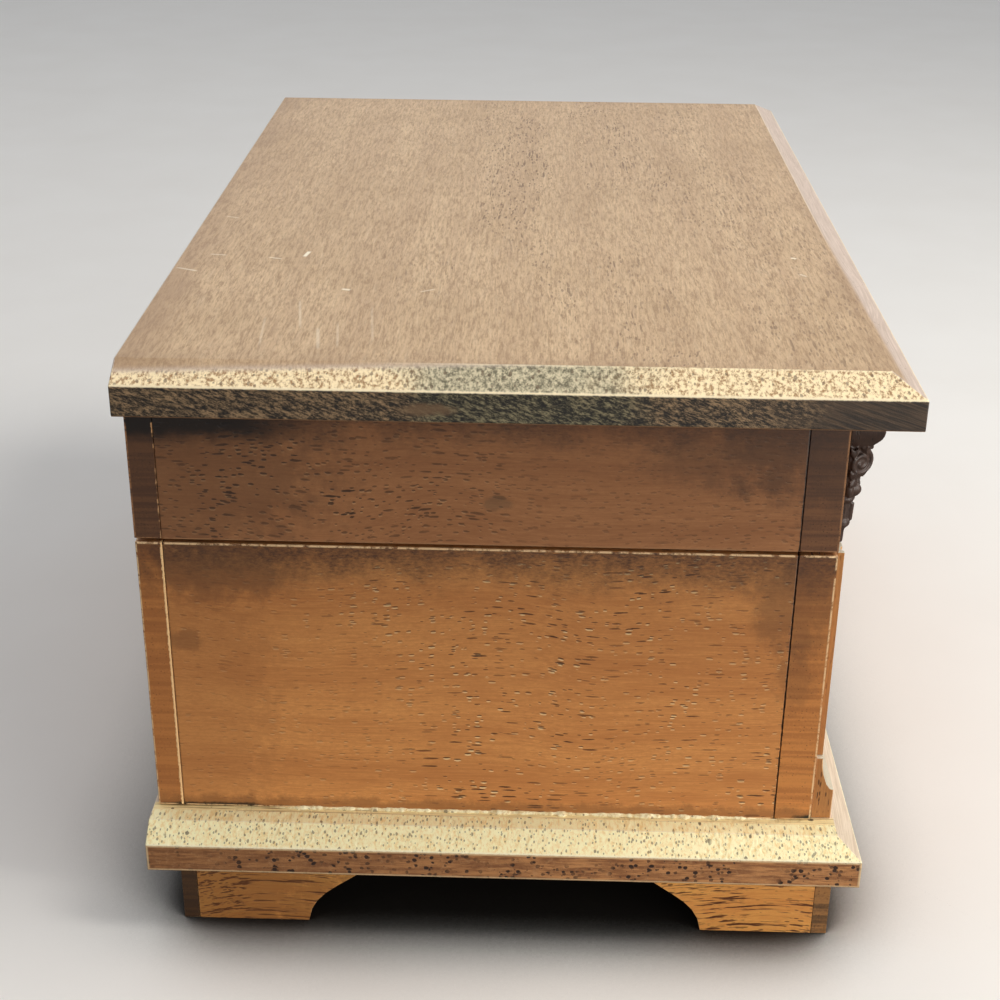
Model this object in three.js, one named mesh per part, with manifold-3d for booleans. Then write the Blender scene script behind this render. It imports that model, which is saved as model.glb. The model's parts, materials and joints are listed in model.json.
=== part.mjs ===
// Musical jewelry box: a wooden chest on bracket feet, with a hinged mirror lid, lined
// compartments, ring rolls and a wind-up musical movement that plays while the lid is open.
// Millimetres, +Z up, +X along the length, front facing -Y.
// Origin: on the ground, below the middle of the overall plan.

import * as THREE from "three";
import { mergeVertices } from "three/addons/utils/BufferGeometryUtils.js";
import Module from "manifold-3d";

// Chest
const case_length = 226;
const case_depth = 150;
const case_height = 68.4;
const rim_height = 33.2;
const split_gap = 0.9;
const front_board = 8.2;
const back_board = 5.8;
const end_panel = 6;
const glue_line = 0.15;
const running_gap = 0.3;
const cut_overrun = 1;

// Lid board
const lid_overhang = 12;
const lid_back_inset = 0.7;
const lid_edge = 6.7;
const lid_bevel_rise = 3.6;
const lid_bevel_width = 6.5;

// Base board
const base_overhang = 10.5;
const base_back_overhang = 1.2;
const base_edge = 7;
const base_bevel_rise = 3.5;
const base_bevel_width = 5;

// Bracket feet
const foot_height = 17.5;
const foot_board = 3.5;
const foot_inset = 5.2;
const foot_bottom_length = 29.3;
const foot_top_length = 45.5;
const foot_curve_steps = 7;
const ogee_low_shares = [0.06, 0.5];
const ogee_high_shares = [0.5, 0.56];

// Corner pilasters: the capital is carved on the lid rim, the shaft and plinth on the case
const pilaster_width = 14;
const pilaster_inset = 0.8;
const shaft_width = 12;
const shaft_depth = 1.5;
const flute_count = 3;
const flute_width = 2.2;
const flute_depth = 0.6;
const flute_steps = 4;
const plinth_depth = 4.6;
const plinth_height = 8;
const plinth_cove_height = 8.5;
const plinth_cove_steps = 5;
const capital_depth = 7.2;
const capital_columns = 16;
// down the rim: drop, projection, width, depth of the carved leaves
const capital_shares = [
  [0, 1, 1, 0],
  [0.17, 1, 1, 0],
  [0.2, 0.97, 0.98, 0],
  [0.235, 0.88, 0.93, 0],
  [0.262, 0.75, 0.87, 0],
  [0.275, 0.69, 0.84, 0],
  [0.285, 0.72, 0.86, 0],
  [0.3, 0.7, 0.85, 0.02],
  [0.315, 0.64, 0.82, 0.05],
  [0.34, 0.69, 0.87, 0.12],
  [0.375, 0.74, 0.92, 0.2],
  [0.42, 0.76, 0.95, 0.24],
  [0.47, 0.75, 0.93, 0.22],
  [0.51, 0.7, 0.87, 0.16],
  [0.535, 0.58, 0.8, 0.08],
  [0.555, 0.56, 0.78, 0.06],
  [0.585, 0.56, 0.76, 0.14],
  [0.615, 0.5, 0.7, 0.16],
  [0.64, 0.36, 0.62, 0.1],
  [0.65, 0.34, 0.8, 0],
  [0.66, 0.35, 0.82, 0],
  [0.8, 0.34, 0.82, 0],
  [0.86, 0.3, 0.82, 0],
  [0.885, 0.2, 0.8, 0],
  [0.97, 0.19, 0.8, 0],
];
const leaf_lobes = 3;
const leaf_edge_power = 3;

// Hinges: butt hinges with a stop rib that meets a bar behind the barrel
const hinge_from_end = 43;
const barrel_radius = 1.7;
const barrel_sides = 16;
const hinge_pin_radius = 0.7;
const hinge_bore_clearance = 0.15;
const hinge_pin_head_radius = 1.3;
const hinge_pin_head = 0.6;
const leaf_length = 25;
const leaf_margin = 1;
const leaf_thickness = 0.8;
const stop_rib_reach = 0.9;
const stop_bar_reach = 1.1;
const stop_rib_width = 0.9;
const lid_opening_degrees = 100;
const stop_rib_degrees = 65;

// Lined interior
const lining = 1.2;
const lining_below_rim = 7;
const floor_pad = 2.5;
const partition = 3;
const bay_left_clearance = 6;
const bay_front_clearance = 3.3;
const bay_head_clearance = 1.55;
const cover_thickness = 2;
const ledge_width = 4;
const cover_clearance = 0.5;
const ring_section = 42;
const ring_divider_height = 30;
const ring_roll_count = 3;
const ring_roll_gap = 1;
const ring_roll_height = 17;
const ring_roll_sides = 12;
const ring_roll_end_shares = [
  [0, 0.7],
  [0.008, 0.86],
  [0.022, 0.96],
  [0.045, 1],
];

// Mirror in the lid
const mirror_end_border = 32;
const mirror_side_border = 24;
const mirror_thickness = 2;
const mirror_margin = 0.3;
const surround_thickness = 4;
const surround_bevel = 1;

// Musical movement, from the main wheel's axis on the bedplate's top face
const bedplate_thickness = 2;
const bedplate_boss = 2;
const bedplate_boss_radius = 3;
const bedplate_margin = 0.9;
const bedplate_hole_radius = 3.6;

const main_teeth = 48;
const gear_module = 0.5;
const main_face = 2.4;
const main_disc = 1.4;
const main_tooth_above = 0.42;
const main_tooth_below = 0.65;
const main_wheel_sides = 24;
const main_tooth_share = 0.34;
const arbor_radius = 1.5;
const main_hub_radius = 2.6;
const pinion_teeth = 12;
const tooth_depth_share = 0.9;
const root_depth_share = 1.15;
const tooth_tip_share = 0.2;
const tooth_root_share = 0.5;

const housing_pinion_clearance = 0.8;
const housing_wall = 0.8;
const housing_height = 11;
const housing_sides = 24;
const housing_clearance = 0.6;
const ear_width = 5;
const ear_clearance = 1;
const ear_leg = 2.4;
const ear_thickness = 1.2;

const spring_strip = 0.4;
const spring_turns = 5;
const spring_turn_steps = 12;
const spring_head_clearance = 1.9;
const spring_inner_radius = 2.6;

const cylinder_radius = 6.2;
const cylinder_length = 19;
const cylinder_wheel_gap = 1.4;
const cylinder_floor_clearance = 0.8;
const cylinder_sides = 36;
const cylinder_arbor_radius = 1.1;
const journal_radius = 0.7;
const journal_clearance = 0.15;
const note_count = 18;
const note_beats = 36;
const pin_height = 0.6;
const pin_width = 0.5;
const tune_note_step = 7;
const tune_beat_step = 5;
const tune_turn = 4;
const tune_spacing = 9;
const tune_swing = 2;

const comb_thickness = 0.9;
const comb_plate_depth = 7;
const comb_tooth_length = 11;
const comb_bass_extra = 2.5;
const comb_slot = 0.32;
const comb_base_thickness = 1.6;
const comb_screw_radius = 1;
const comb_screw_head_radius = 2.1;
const comb_screw_head = 1.1;
const comb_screw_length = 4;
const comb_screw_slot = 0.5;
const screw_sides = 12;

const drive_gear_teeth = 30;
const drive_gear_module = 0.42;
const drive_gear_face = 1.2;
const governor_pinion_teeth = 10;
const governor_pinion_face = 1.8;
const governor_wheel_gap = 0.9;
const governor_wheel_clearance = 1.05;
const worm_wheel_teeth = 20;
const worm_wheel_face = 0.9;
const worm_radius = 1.5;
const worm_starts = 2;
const worm_depth = 0.42;
const worm_backlash = 0.06;
const worm_sides = 12;
const worm_turn_steps = 12;
const worm_foot_clearance = 0.8;
const fan_radius = 4;
const fan_height = 4;
const fan_blade = 0.35;
const fan_hub_radius = 1.2;
const fan_shaft_radius = 0.6;
const fan_head_clearance = 1;
const frame_plate = 1.3;
const frame_plate_gap = 0.5;
const frame_foot = 1.4;
const frame_arm_width = 3.6;
const frame_bearing_wall = 1.4;

// Winding key under the base
const key_hole_radius = 4.5;
const key_hub_radius = 2.9;
const key_hub_length = 7;
const key_below_base = 0.8;
const key_lobe_radius = 4.4;
const key_lobe_spread = 11;
const key_thickness = 1.8;
const key_bore_depth = 5;

// Stop wire that the lid rim presses down
const stop_wire_radius = 0.8;
const stop_wire_inset = 2;
const stop_wire_clearance = 0.6;
const stop_wire_sides = 10;

// Places in the movement that follow: the main wheel, the cylinder and the comb
const pitch = Math.PI * gear_module;
const tooth_above = gear_module * tooth_depth_share;
const main_radius = (main_teeth * gear_module) / 2;
const main_inner = main_radius - main_face / 2;
const main_outer = main_radius + main_face / 2;
const pinion_radius = (pinion_teeth * gear_module) / 2;
const cylinder_axis_height = cylinder_radius + pin_height + cylinder_floor_clearance;
const cylinder_start = main_outer + cylinder_wheel_gap;
const cylinder_end = cylinder_start + cylinder_length;
const main_tooth_middle = cylinder_axis_height - pinion_radius;
const main_tooth_top = main_tooth_middle + main_tooth_above;
const main_disc_top = main_tooth_middle - main_tooth_below;
const housing_radius = main_inner - housing_pinion_clearance;
const housing_bottom = main_tooth_top + housing_clearance;
const housing_top = housing_bottom + housing_height;
const ear_end = main_outer + ear_clearance + ear_leg;
const spring_bottom = housing_bottom + running_gap;
const spring_top = housing_top - housing_wall - spring_head_clearance;
const comb_tip_y = -(cylinder_radius + pin_height + running_gap);
const comb_root_y = comb_tip_y - comb_tooth_length;
const comb_back_y = comb_root_y - comb_plate_depth;
const comb_bottom = cylinder_axis_height - comb_thickness / 2;
const comb_seat_top = comb_bottom - comb_base_thickness - glue_line;

// The governor: two plates carry the worm wheel, and the fan turns beside it
const worm_wheel_radius = (worm_wheel_teeth * gear_module) / 2;
const governor_axis_z = worm_wheel_radius + tooth_above + governor_wheel_clearance;
const governor_axis_drop = cylinder_axis_height - governor_axis_z;
const governor_distance = ((drive_gear_teeth + governor_pinion_teeth) * drive_gear_module) / 2;
const governor_axis_y = Math.sqrt(governor_distance ** 2 - governor_axis_drop ** 2);
const near_plate_start = cylinder_end + frame_plate_gap;
const near_plate_end = near_plate_start + frame_plate;
const governor_pinion_start = near_plate_end + running_gap;
const governor_pinion_end = governor_pinion_start + governor_pinion_face;
const drive_gear_start = governor_pinion_start + (governor_pinion_face - drive_gear_face) / 2;
const worm_wheel_start = governor_pinion_end + governor_wheel_gap;
const worm_wheel_end = worm_wheel_start + worm_wheel_face;
const far_plate_start = worm_wheel_end + running_gap;
const far_plate_end = far_plate_start + frame_plate;
const fan_x = worm_wheel_start + worm_wheel_face / 2;
const fan_y = governor_axis_y + worm_wheel_radius + worm_radius + worm_backlash;
const worm_bottom = frame_foot + worm_foot_clearance;
const worm_top = 2 * governor_axis_z - worm_bottom;
const fan_bottom = governor_axis_z + worm_wheel_radius + tooth_above + governor_wheel_clearance;
const arm_bottom = fan_bottom + fan_height + fan_head_clearance;
const arm_top = arm_bottom + frame_plate;
const post_start = fan_y + fan_radius + running_gap;
const post_end = post_start + frame_plate;

const bedplate_left = ear_end + bedplate_margin;
const bedplate_right = far_plate_end + bedplate_margin;
const bedplate_front = -comb_back_y + bedplate_margin;
const bedplate_back = post_end + bedplate_margin;
const bedplate_raise = bedplate_boss + bedplate_thickness + glue_line;

// The bay is as large as the movement with its clearances
const bay_movement_length = bay_left_clearance + bedplate_left + fan_x + fan_radius;
const bay_wire_length = running_gap + 2 * stop_wire_radius + stop_wire_clearance + ledge_width + glue_line;
const bay_length = bay_movement_length + bay_wire_length;
const bay_back_clearance = cover_clearance + stop_wire_radius;
const bay_depth = bay_back_clearance + bedplate_back + bedplate_front + bay_front_clearance;
const bay_height = bedplate_raise + arm_top + bay_head_clearance + cover_thickness;

// Levels and planes that follow
const half_length = case_length / 2;
const hinge_offset = barrel_radius + running_gap;
const leaf_depth = back_board - leaf_margin;
const hinge_reach = hinge_offset + barrel_radius;
const overall_depth = lid_overhang + case_depth + hinge_reach;
const back_face = overall_depth / 2 - hinge_reach;
const front_face = back_face - case_depth;
const base_edge_top = foot_height + base_edge;
const floor_top = base_edge_top + base_bevel_rise;
const case_bottom = floor_top + glue_line;
const case_top = floor_top + case_height;
const rim_bottom = case_top + split_gap;
const rim_top = rim_bottom + rim_height;
const lid_underside = rim_top + glue_line;
const lid_edge_top = lid_underside + lid_edge;
const inner_end = half_length - end_panel;
const inner_front = front_face + front_board;
const inner_back = back_face - back_board;
const hinge_x = half_length - hinge_from_end;
const hinge_axis_y = back_face + hinge_offset;
const hinge_axis_z = case_top + split_gap / 2;
const bay_left = inner_end - bay_length;
const bay_front = inner_back - bay_depth;
const bay_top = floor_top + bay_height;
const movement_x = bay_left + bay_left_clearance + bedplate_left;
const movement_y = inner_back - bay_back_clearance - bedplate_back;
const movement_z = floor_top + bedplate_raise;
const base_offset = foot_height - movement_z;
const leaf_top = hinge_axis_z - running_gap / 2;
const leaf_bottom = hinge_axis_z + running_gap / 2;
const stop_wire_x = movement_x + fan_x + fan_radius + running_gap + stop_wire_radius;
const stop_wire_y = inner_back + stop_wire_inset;

const wasm = await Module();
wasm.setup();

// Finishes
const finish = (color, roughness, metalness = 0) =>
  new THREE.MeshStandardMaterial({ color, roughness, metalness });
const lid_wood = finish(0xa8906b, 0.45);
const case_wood = finish(0x9a6236, 0.4);
const base_wood = finish(0xc9a877, 0.5);
const foot_wood = finish(0xa56a3a, 0.45);
const carved_wood = finish(0x4a3526, 0.5);
const velvet = finish(0x6d1a26, 0.95);
const silver_glass = finish(0xd8dde0, 0.05, 1);
const clear_sheet = finish(0xe8f0f2, 0.05);
clear_sheet.transparent = true;
clear_sheet.opacity = 0.3;
const brass = finish(0xc49a4a, 0.3, 1);
const steel = finish(0xb4b6b8, 0.3, 1);

// Keeps only positions, merges shared corners and drops triangles that have no area
function bare(geometry) {
  const copy = geometry.clone();
  copy.deleteAttribute("normal");
  copy.deleteAttribute("uv");
  const merged = mergeVertices(copy);
  const index = merged.index.array;
  const kept = [];
  for (let i = 0; i < index.length; i += 3) {
    const [a, b, c] = [index[i], index[i + 1], index[i + 2]];
    if (a !== b && b !== c && c !== a) kept.push(a, b, c);
  }
  merged.setIndex(kept);
  return merged;
}

function toManifold(geometry) {
  const vertProperties = new Float32Array(geometry.attributes.position.array);
  const triVerts = new Uint32Array(geometry.index.array);
  return new wasm.Manifold(new wasm.Mesh({ numProp: 3, vertProperties, triVerts }));
}

function fromManifold(body) {
  const mesh = body.getMesh();
  const geometry = new THREE.BufferGeometry();
  geometry.setAttribute("position", new THREE.BufferAttribute(mesh.vertProperties, 3));
  geometry.setIndex(new THREE.BufferAttribute(mesh.triVerts, 1));
  return geometry;
}

function join(...pieces) {
  return fromManifold(pieces.map(toManifold).reduce((sum, piece) => sum.add(piece)));
}

function cut(piece, ...tools) {
  return fromManifold(tools.map(toManifold).reduce((rest, tool) => rest.subtract(tool), toManifold(piece)));
}

// A box between two corners
function slab([x0, y0, z0], [x1, y1, z1]) {
  const box = new THREE.BoxGeometry(x1 - x0, y1 - y0, z1 - z0);
  return bare(box.translate((x0 + x1) / 2, (y0 + y1) / 2, (z0 + z1) / 2));
}

// A closed body through rings of equally many points, each ring anticlockwise seen from the next one
function loft(rings) {
  const count = rings[0].length;
  const index = [];
  for (let r = 0; r + 1 < rings.length; r++) {
    for (let i = 0; i < count; i++) {
      const a = r * count + i;
      const b = r * count + ((i + 1) % count);
      index.push(a, b, b + count, a, b + count, a + count);
    }
  }
  const last = (rings.length - 1) * count;
  for (let i = 1; i + 1 < count; i++) {
    index.push(0, i + 1, i);
    index.push(last, last + i, last + i + 1);
  }
  const geometry = new THREE.BufferGeometry();
  geometry.setAttribute("position", new THREE.Float32BufferAttribute(rings.flat(2), 3));
  geometry.setIndex(index);
  return geometry;
}

// A shape drawn in X and Y, drawn out along Z
function extrude(shape, depth, curveSegments = foot_curve_steps) {
  return bare(new THREE.ExtrudeGeometry(shape, { depth, bevelEnabled: false, curveSegments }));
}

function polygon(points) {
  return new THREE.Shape(points.map(([x, y]) => new THREE.Vector2(x, y)));
}

// Cyclic turns of the axes: a body drawn out along Z comes to lie along X or Y
const along_x = new THREE.Matrix4().makeBasis(
  new THREE.Vector3(0, 1, 0), new THREE.Vector3(0, 0, 1), new THREE.Vector3(1, 0, 0));
const along_y = new THREE.Matrix4().makeBasis(
  new THREE.Vector3(0, 0, 1), new THREE.Vector3(1, 0, 0), new THREE.Vector3(0, 1, 0));

// A turned body about Z from [radius, height] points that start and end on the axis
function turned(profile, sides) {
  const points = profile.map(([r, z]) => new THREE.Vector2(r, z));
  return bare(new THREE.LatheGeometry(points, sides).rotateX(Math.PI / 2));
}

function rod(radius, from, to, sides) {
  return turned([[0, from], [radius, from], [radius, to], [0, to]], sides);
}

// Spur gear about Z between two heights, with one tooth centred on +X
function gear(teeth, module, from, to) {
  const pitch_radius = (teeth * module) / 2;
  const tip = pitch_radius + module * tooth_depth_share;
  const root = pitch_radius - module * root_depth_share;
  const step = (Math.PI * 2) / teeth;
  const marks = [
    [root, -tooth_root_share], [tip, -tooth_tip_share],
    [tip, tooth_tip_share], [root, tooth_root_share],
  ];
  const points = [];
  for (let i = 0; i < teeth; i++) {
    for (const [radius, share] of marks) {
      const angle = step * (i + share / 2);
      points.push([radius * Math.cos(angle), radius * Math.sin(angle)]);
    }
  }
  return extrude(polygon(points), to - from).translate(0, 0, from);
}

const box = new THREE.Group();
const movement = new THREE.Group();
movement.position.set(movement_x, movement_y, movement_z);
box.add(movement);

function place(group, name, geometry, material, x = 0, y = 0, z = 0) {
  const mesh = new THREE.Mesh(geometry, material);
  mesh.name = name;
  mesh.position.set(x, y, z);
  group.add(mesh);
}

// Board with a vertical edge and a bevel on its ends and front, square at the back
function bevelledBoard(reach, back, bottom, edge_top, bevel_rise, bevel_width) {
  const front = front_face - reach;
  const ring = (inset, z) => {
    const x = half_length + reach - inset;
    return [[-x, front + inset, z], [x, front + inset, z], [x, back, z], [-x, back, z]];
  };
  return loft([ring(0, bottom), ring(0, edge_top), ring(bevel_width, edge_top + bevel_rise)]);
}

function makeLidBoard() {
  const back = back_face - lid_back_inset;
  const levels = [lid_underside, lid_edge_top];
  const board = bevelledBoard(lid_overhang, back, ...levels, lid_bevel_rise, lid_bevel_width);
  place(box, "lid_board", board, lid_wood);
}

function makeBaseBoard() {
  const back = back_face + base_back_overhang;
  const levels = [foot_height, base_edge_top];
  const board = bevelledBoard(base_overhang, back, ...levels, base_bevel_rise, base_bevel_width);
  const hole = rod(key_hole_radius, foot_height - cut_overrun, floor_top + cut_overrun, housing_sides);
  place(box, "base_board", cut(board, hole.translate(movement_x, movement_y, 0)), base_wood);
}

// Bracket foot board: straight at its corner, ogee at its free end, drawn from the corner along +X
function footBoard(start) {
  const run = foot_top_length - foot_bottom_length;
  const top = foot_height - glue_line;
  const curve = ([across, up]) => [foot_bottom_length + run * across, top * up];
  const shape = new THREE.Shape();
  shape.moveTo(start, 0);
  shape.lineTo(foot_bottom_length, 0);
  shape.bezierCurveTo(...curve(ogee_low_shares), ...curve(ogee_high_shares), foot_top_length, top);
  shape.lineTo(start, top);
  return extrude(shape, foot_board).rotateX(Math.PI / 2);
}

function makeFeet() {
  const end = half_length + base_overhang - foot_inset;
  const front = front_face - base_overhang + foot_inset;
  const back = back_face - foot_inset;
  const end_start = foot_board + glue_line;
  const half_turn = Math.PI;
  const quarter = Math.PI / 2;
  place(box, "foot_front_left", footBoard(0), foot_wood, -end, front + foot_board);
  place(box, "foot_front_right", footBoard(0).rotateZ(half_turn), foot_wood, end, front);
  place(box, "foot_back_left", footBoard(0), foot_wood, -end, back);
  place(box, "foot_back_right", footBoard(0).rotateZ(half_turn), foot_wood, end, back - foot_board);
  place(box, "foot_left_front", footBoard(end_start).rotateZ(quarter), foot_wood, -end, front);
  place(box, "foot_left_back", footBoard(end_start).rotateZ(-quarter), foot_wood, -end + foot_board, back);
  place(box, "foot_right_front", footBoard(end_start).rotateZ(quarter), foot_wood, end - foot_board, front);
  place(box, "foot_right_back", footBoard(end_start).rotateZ(-quarter), foot_wood, end, back);
}

// The mortises that the hinge leaves lie in, cut into a back board's edge
function leafMortises(bottom, top) {
  const half = leaf_length / 2 + glue_line;
  const front = back_face - leaf_depth - glue_line;
  return [-1, 1].map((side) => {
    const x = side * hinge_x;
    return slab([x - half, front, bottom], [x + half, back_face + cut_overrun, top]);
  });
}

function makeCase() {
  const top = case_top;
  const front = slab([-half_length, front_face, case_bottom], [half_length, inner_front, top]);
  place(box, "case_front", front, case_wood);
  const back = slab([-half_length, inner_back, case_bottom], [half_length, back_face, top]);
  const groove_half = stop_wire_radius + running_gap;
  const groove = slab(
    [stop_wire_x - groove_half, inner_back - cut_overrun, floor_top - cut_overrun],
    [stop_wire_x + groove_half, stop_wire_y + groove_half, top + cut_overrun]);
  const mortises = leafMortises(leaf_top - leaf_thickness - glue_line, top + cut_overrun);
  place(box, "case_back", cut(back, groove, ...mortises), case_wood);
  for (const [name, side] of [["case_left_end", -1], ["case_right_end", 1]]) {
    const x = side * (half_length - end_panel / 2);
    const low = [x - end_panel / 2, inner_front + glue_line, case_bottom];
    place(box, name, slab(low, [x + end_panel / 2, inner_back - glue_line, top]), case_wood);
  }
}

function makeRim() {
  const low = rim_bottom;
  const front = slab([-half_length, front_face, low], [half_length, inner_front, rim_top]);
  place(box, "rim_front", front, case_wood);
  const back = slab([-half_length, inner_back, low], [half_length, back_face, rim_top]);
  const mortises = leafMortises(low - cut_overrun, leaf_bottom + leaf_thickness + glue_line);
  place(box, "rim_back", cut(back, ...mortises), case_wood);
  for (const [name, side] of [["rim_left_end", -1], ["rim_right_end", 1]]) {
    const x = side * (half_length - end_panel / 2);
    const corner = [x - end_panel / 2, inner_front + glue_line, low];
    place(box, name, slab(corner, [x + end_panel / 2, inner_back - glue_line, rim_top]), case_wood);
  }
}

// Carved capital: sections across the width, stacked up the rim, with leaf lobes on the front
function capital() {
  const rings = [...capital_shares].reverse().map(([drop, depth, width, carving]) => {
    const half = (pilaster_width * width) / 2;
    const z = rim_top - rim_height * drop;
    const ring = [];
    for (let i = 0; i <= capital_columns; i++) {
      const across = (2 * i) / capital_columns - 1;
      const lobe = Math.abs(Math.cos((Math.PI / 2) * across * leaf_lobes));
      const edge = Math.sqrt(1 - Math.abs(across) ** leaf_edge_power * carving);
      ring.push([half * across, -capital_depth * (depth * edge - carving * (1 - lobe)), z]);
    }
    ring.push([half, 0, z], [-half, 0, z]);
    return ring;
  });
  return loft(rings);
}

// Fluted pilaster shaft between the plinth and the top of the case
function shaft() {
  const half = shaft_width / 2;
  const pitch = shaft_width / flute_count;
  const points = [[half, 0], [-half, 0], [-half, -shaft_depth]];
  for (let i = 0; i < flute_count; i++) {
    const middle = -half + pitch * (i + 1 / 2);
    for (let step = 0; step <= flute_steps; step++) {
      const angle = (Math.PI * step) / flute_steps;
      const x = middle - (flute_width / 2) * Math.cos(angle);
      points.push([x, -shaft_depth + flute_depth * Math.sin(angle)]);
    }
  }
  points.push([half, -shaft_depth]);
  const bottom = case_bottom + plinth_height + plinth_cove_height + glue_line;
  return extrude(polygon(points), case_top - bottom).translate(0, 0, bottom);
}

// Plinth block with a cove that rises to the shaft
function plinth() {
  const points = [[0, 0], [-plinth_depth, 0], [-plinth_depth, plinth_height]];
  const run = plinth_depth - shaft_depth;
  for (let step = 1; step <= plinth_cove_steps; step++) {
    const angle = (Math.PI / 2) * (step / plinth_cove_steps);
    const rise = plinth_cove_height * (1 - Math.cos(angle));
    points.push([-plinth_depth + run * Math.sin(angle), plinth_height + rise]);
  }
  points.push([0, plinth_height + plinth_cove_height]);
  const body = extrude(polygon(points.reverse()), pilaster_width).applyMatrix4(along_x);
  return body.translate(-pilaster_width / 2, 0, case_bottom);
}

function makePilasters() {
  const x = half_length - pilaster_inset - pilaster_width / 2;
  const y = front_face - glue_line;
  for (const [side, sign] of [["left", -1], ["right", 1]]) {
    place(box, `capital_${side}`, capital(), carved_wood, sign * x, y);
    place(box, `shaft_${side}`, shaft(), case_wood, sign * x, y);
    place(box, `plinth_${side}`, plinth(), case_wood, sign * x, y);
  }
}

// One hinge leaf about its pin: a plate in its mortise, its knuckles and its half of the stop
function hingeLeaf(knuckles, up, stop_degrees, stop_reach) {
  const third = leaf_length / 3;
  const gap = running_gap / 2;
  const near = up * (running_gap / 2);
  const far = up * (running_gap / 2 + leaf_thickness);
  const [low, high] = [Math.min(near, far), Math.max(near, far)];
  const half = leaf_length / 2;
  const pieces = [slab([-half, -hinge_offset - leaf_depth, low], [half, -hinge_offset, high])];
  const stop = slab(
    [-half, hinge_pin_radius + hinge_bore_clearance + glue_line, -stop_rib_width / 2],
    [half, barrel_radius + stop_reach, stop_rib_width / 2]);
  stop.rotateX(THREE.MathUtils.degToRad(stop_degrees));
  pieces.push(stop);
  for (const knuckle of knuckles) {
    const from = knuckle === 0 ? -half : -half + third * knuckle + gap;
    const to = knuckle === 2 ? half : -half + third * (knuckle + 1) - gap;
    pieces.push(rod(barrel_radius, from, to, barrel_sides).applyMatrix4(along_x));
    pieces.push(slab([from, -hinge_offset - gap, low], [to, 0, high]));
  }
  const reach = barrel_radius + running_gap;
  const others = [0, 1, 2].filter((knuckle) => !knuckles.includes(knuckle));
  const tools = others.map((knuckle) => {
    const from = knuckle === 0 ? -half - cut_overrun : -half + third * knuckle - gap;
    const to = knuckle === 2 ? half + cut_overrun : -half + third * (knuckle + 1) + gap;
    const radius = others.length > 1 ? reach + stop_reach : reach;
    return rod(radius, from, to, barrel_sides).applyMatrix4(along_x);
  });
  const bore = rod(hinge_pin_radius + hinge_bore_clearance, -leaf_length, leaf_length, barrel_sides);
  const plate_side = slab(
    [-leaf_length, -leaf_length, -leaf_length],
    [leaf_length, -hinge_offset, leaf_length]);
  const notches = tools.map((tool) => cut(tool, plate_side));
  return cut(join(...pieces), bore.applyMatrix4(along_x), ...notches);
}

function hingePin() {
  const half = leaf_length / 2 + glue_line;
  const end = half + hinge_pin_head;
  const profile = [
    [0, -end], [hinge_pin_head_radius, -end], [hinge_pin_head_radius, -half], [hinge_pin_radius, -half],
    [hinge_pin_radius, half], [hinge_pin_head_radius, half], [hinge_pin_head_radius, end], [0, end]];
  return turned(profile, screw_sides).applyMatrix4(along_x);
}

function makeHinges() {
  const stop_width = (stop_rib_width + running_gap) / (barrel_radius + running_gap);
  const stop_degrees = THREE.MathUtils.radToDeg(stop_width);
  const bar_degrees = stop_rib_degrees - lid_opening_degrees - stop_degrees;
  for (const [side, sign] of [["left", -1], ["right", 1]]) {
    const axis = [sign * hinge_x, hinge_axis_y, hinge_axis_z];
    const case_leaf = hingeLeaf([0, 2], -1, bar_degrees, stop_bar_reach);
    const lid_leaf = hingeLeaf([1], 1, stop_rib_degrees, stop_rib_reach);
    place(box, `hinge_case_leaf_${side}`, case_leaf, brass, ...axis);
    place(box, `hinge_lid_leaf_${side}`, lid_leaf, brass, ...axis);
    place(box, `hinge_pin_${side}`, hingePin(), brass, ...axis);
  }
}

// Stuffed roll: a rounded section along X that closes in at its ends
function ringRoll(length, depth) {
  const stations = [
    ...ring_roll_end_shares,
    ...[...ring_roll_end_shares].reverse().map(([along, size]) => [1 - along, size]),
  ];
  const rings = stations.map(([along, size]) => {
    const ring = [];
    for (let i = 0; i < ring_roll_sides; i++) {
      const angle = (Math.PI * 2 * (i + 1 / 2)) / ring_roll_sides;
      const y = Math.sign(Math.cos(angle)) * Math.sqrt(Math.abs(Math.cos(angle)));
      const z = Math.sign(Math.sin(angle)) * Math.sqrt(Math.abs(Math.sin(angle)));
      const rise = 1 + (z < 0 ? z : size * z);
      ring.push([length * (along - 1 / 2), (depth / 2) * size * y, (ring_roll_height / 2) * rise]);
    }
    return ring;
  });
  return loft(rings);
}

// Places inside the case that its linings, partitions and pads share
const inside_floor = floor_top + glue_line;
const lining_top = case_top - lining_below_rim;
const inside_right = inner_end - glue_line;
const inside_left = -inside_right;
const inside_front = inner_front + glue_line;
const inside_back = inner_back - glue_line;
const lined_right = inside_right - lining - glue_line;
const lined_left = -lined_right;
const lined_front = inside_front + lining;
const lined_back = inside_back - lining;
const partition_x = bay_left - partition;
const left_section_end = partition_x - glue_line;
const side_section_back = bay_front - partition - glue_line;
const ring_front = lined_front + glue_line;
const divider_y = ring_front + ring_section;

function makeLinings() {
  const front = slab([lined_left, inside_front, inside_floor], [lined_right, lined_front, lining_top]);
  place(box, "lining_front", front, velvet);
  const back = slab([lined_left, lined_back, inside_floor], [left_section_end, inside_back, lining_top]);
  place(box, "lining_back", back, velvet);
  const left = slab(
    [inside_left, inside_front, inside_floor],
    [inside_left + lining, inside_back, lining_top]);
  place(box, "lining_left", left, velvet);
  const right = slab(
    [inside_right - lining, inside_front, inside_floor],
    [inside_right, side_section_back, lining_top]);
  place(box, "lining_right", right, velvet);
}

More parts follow.
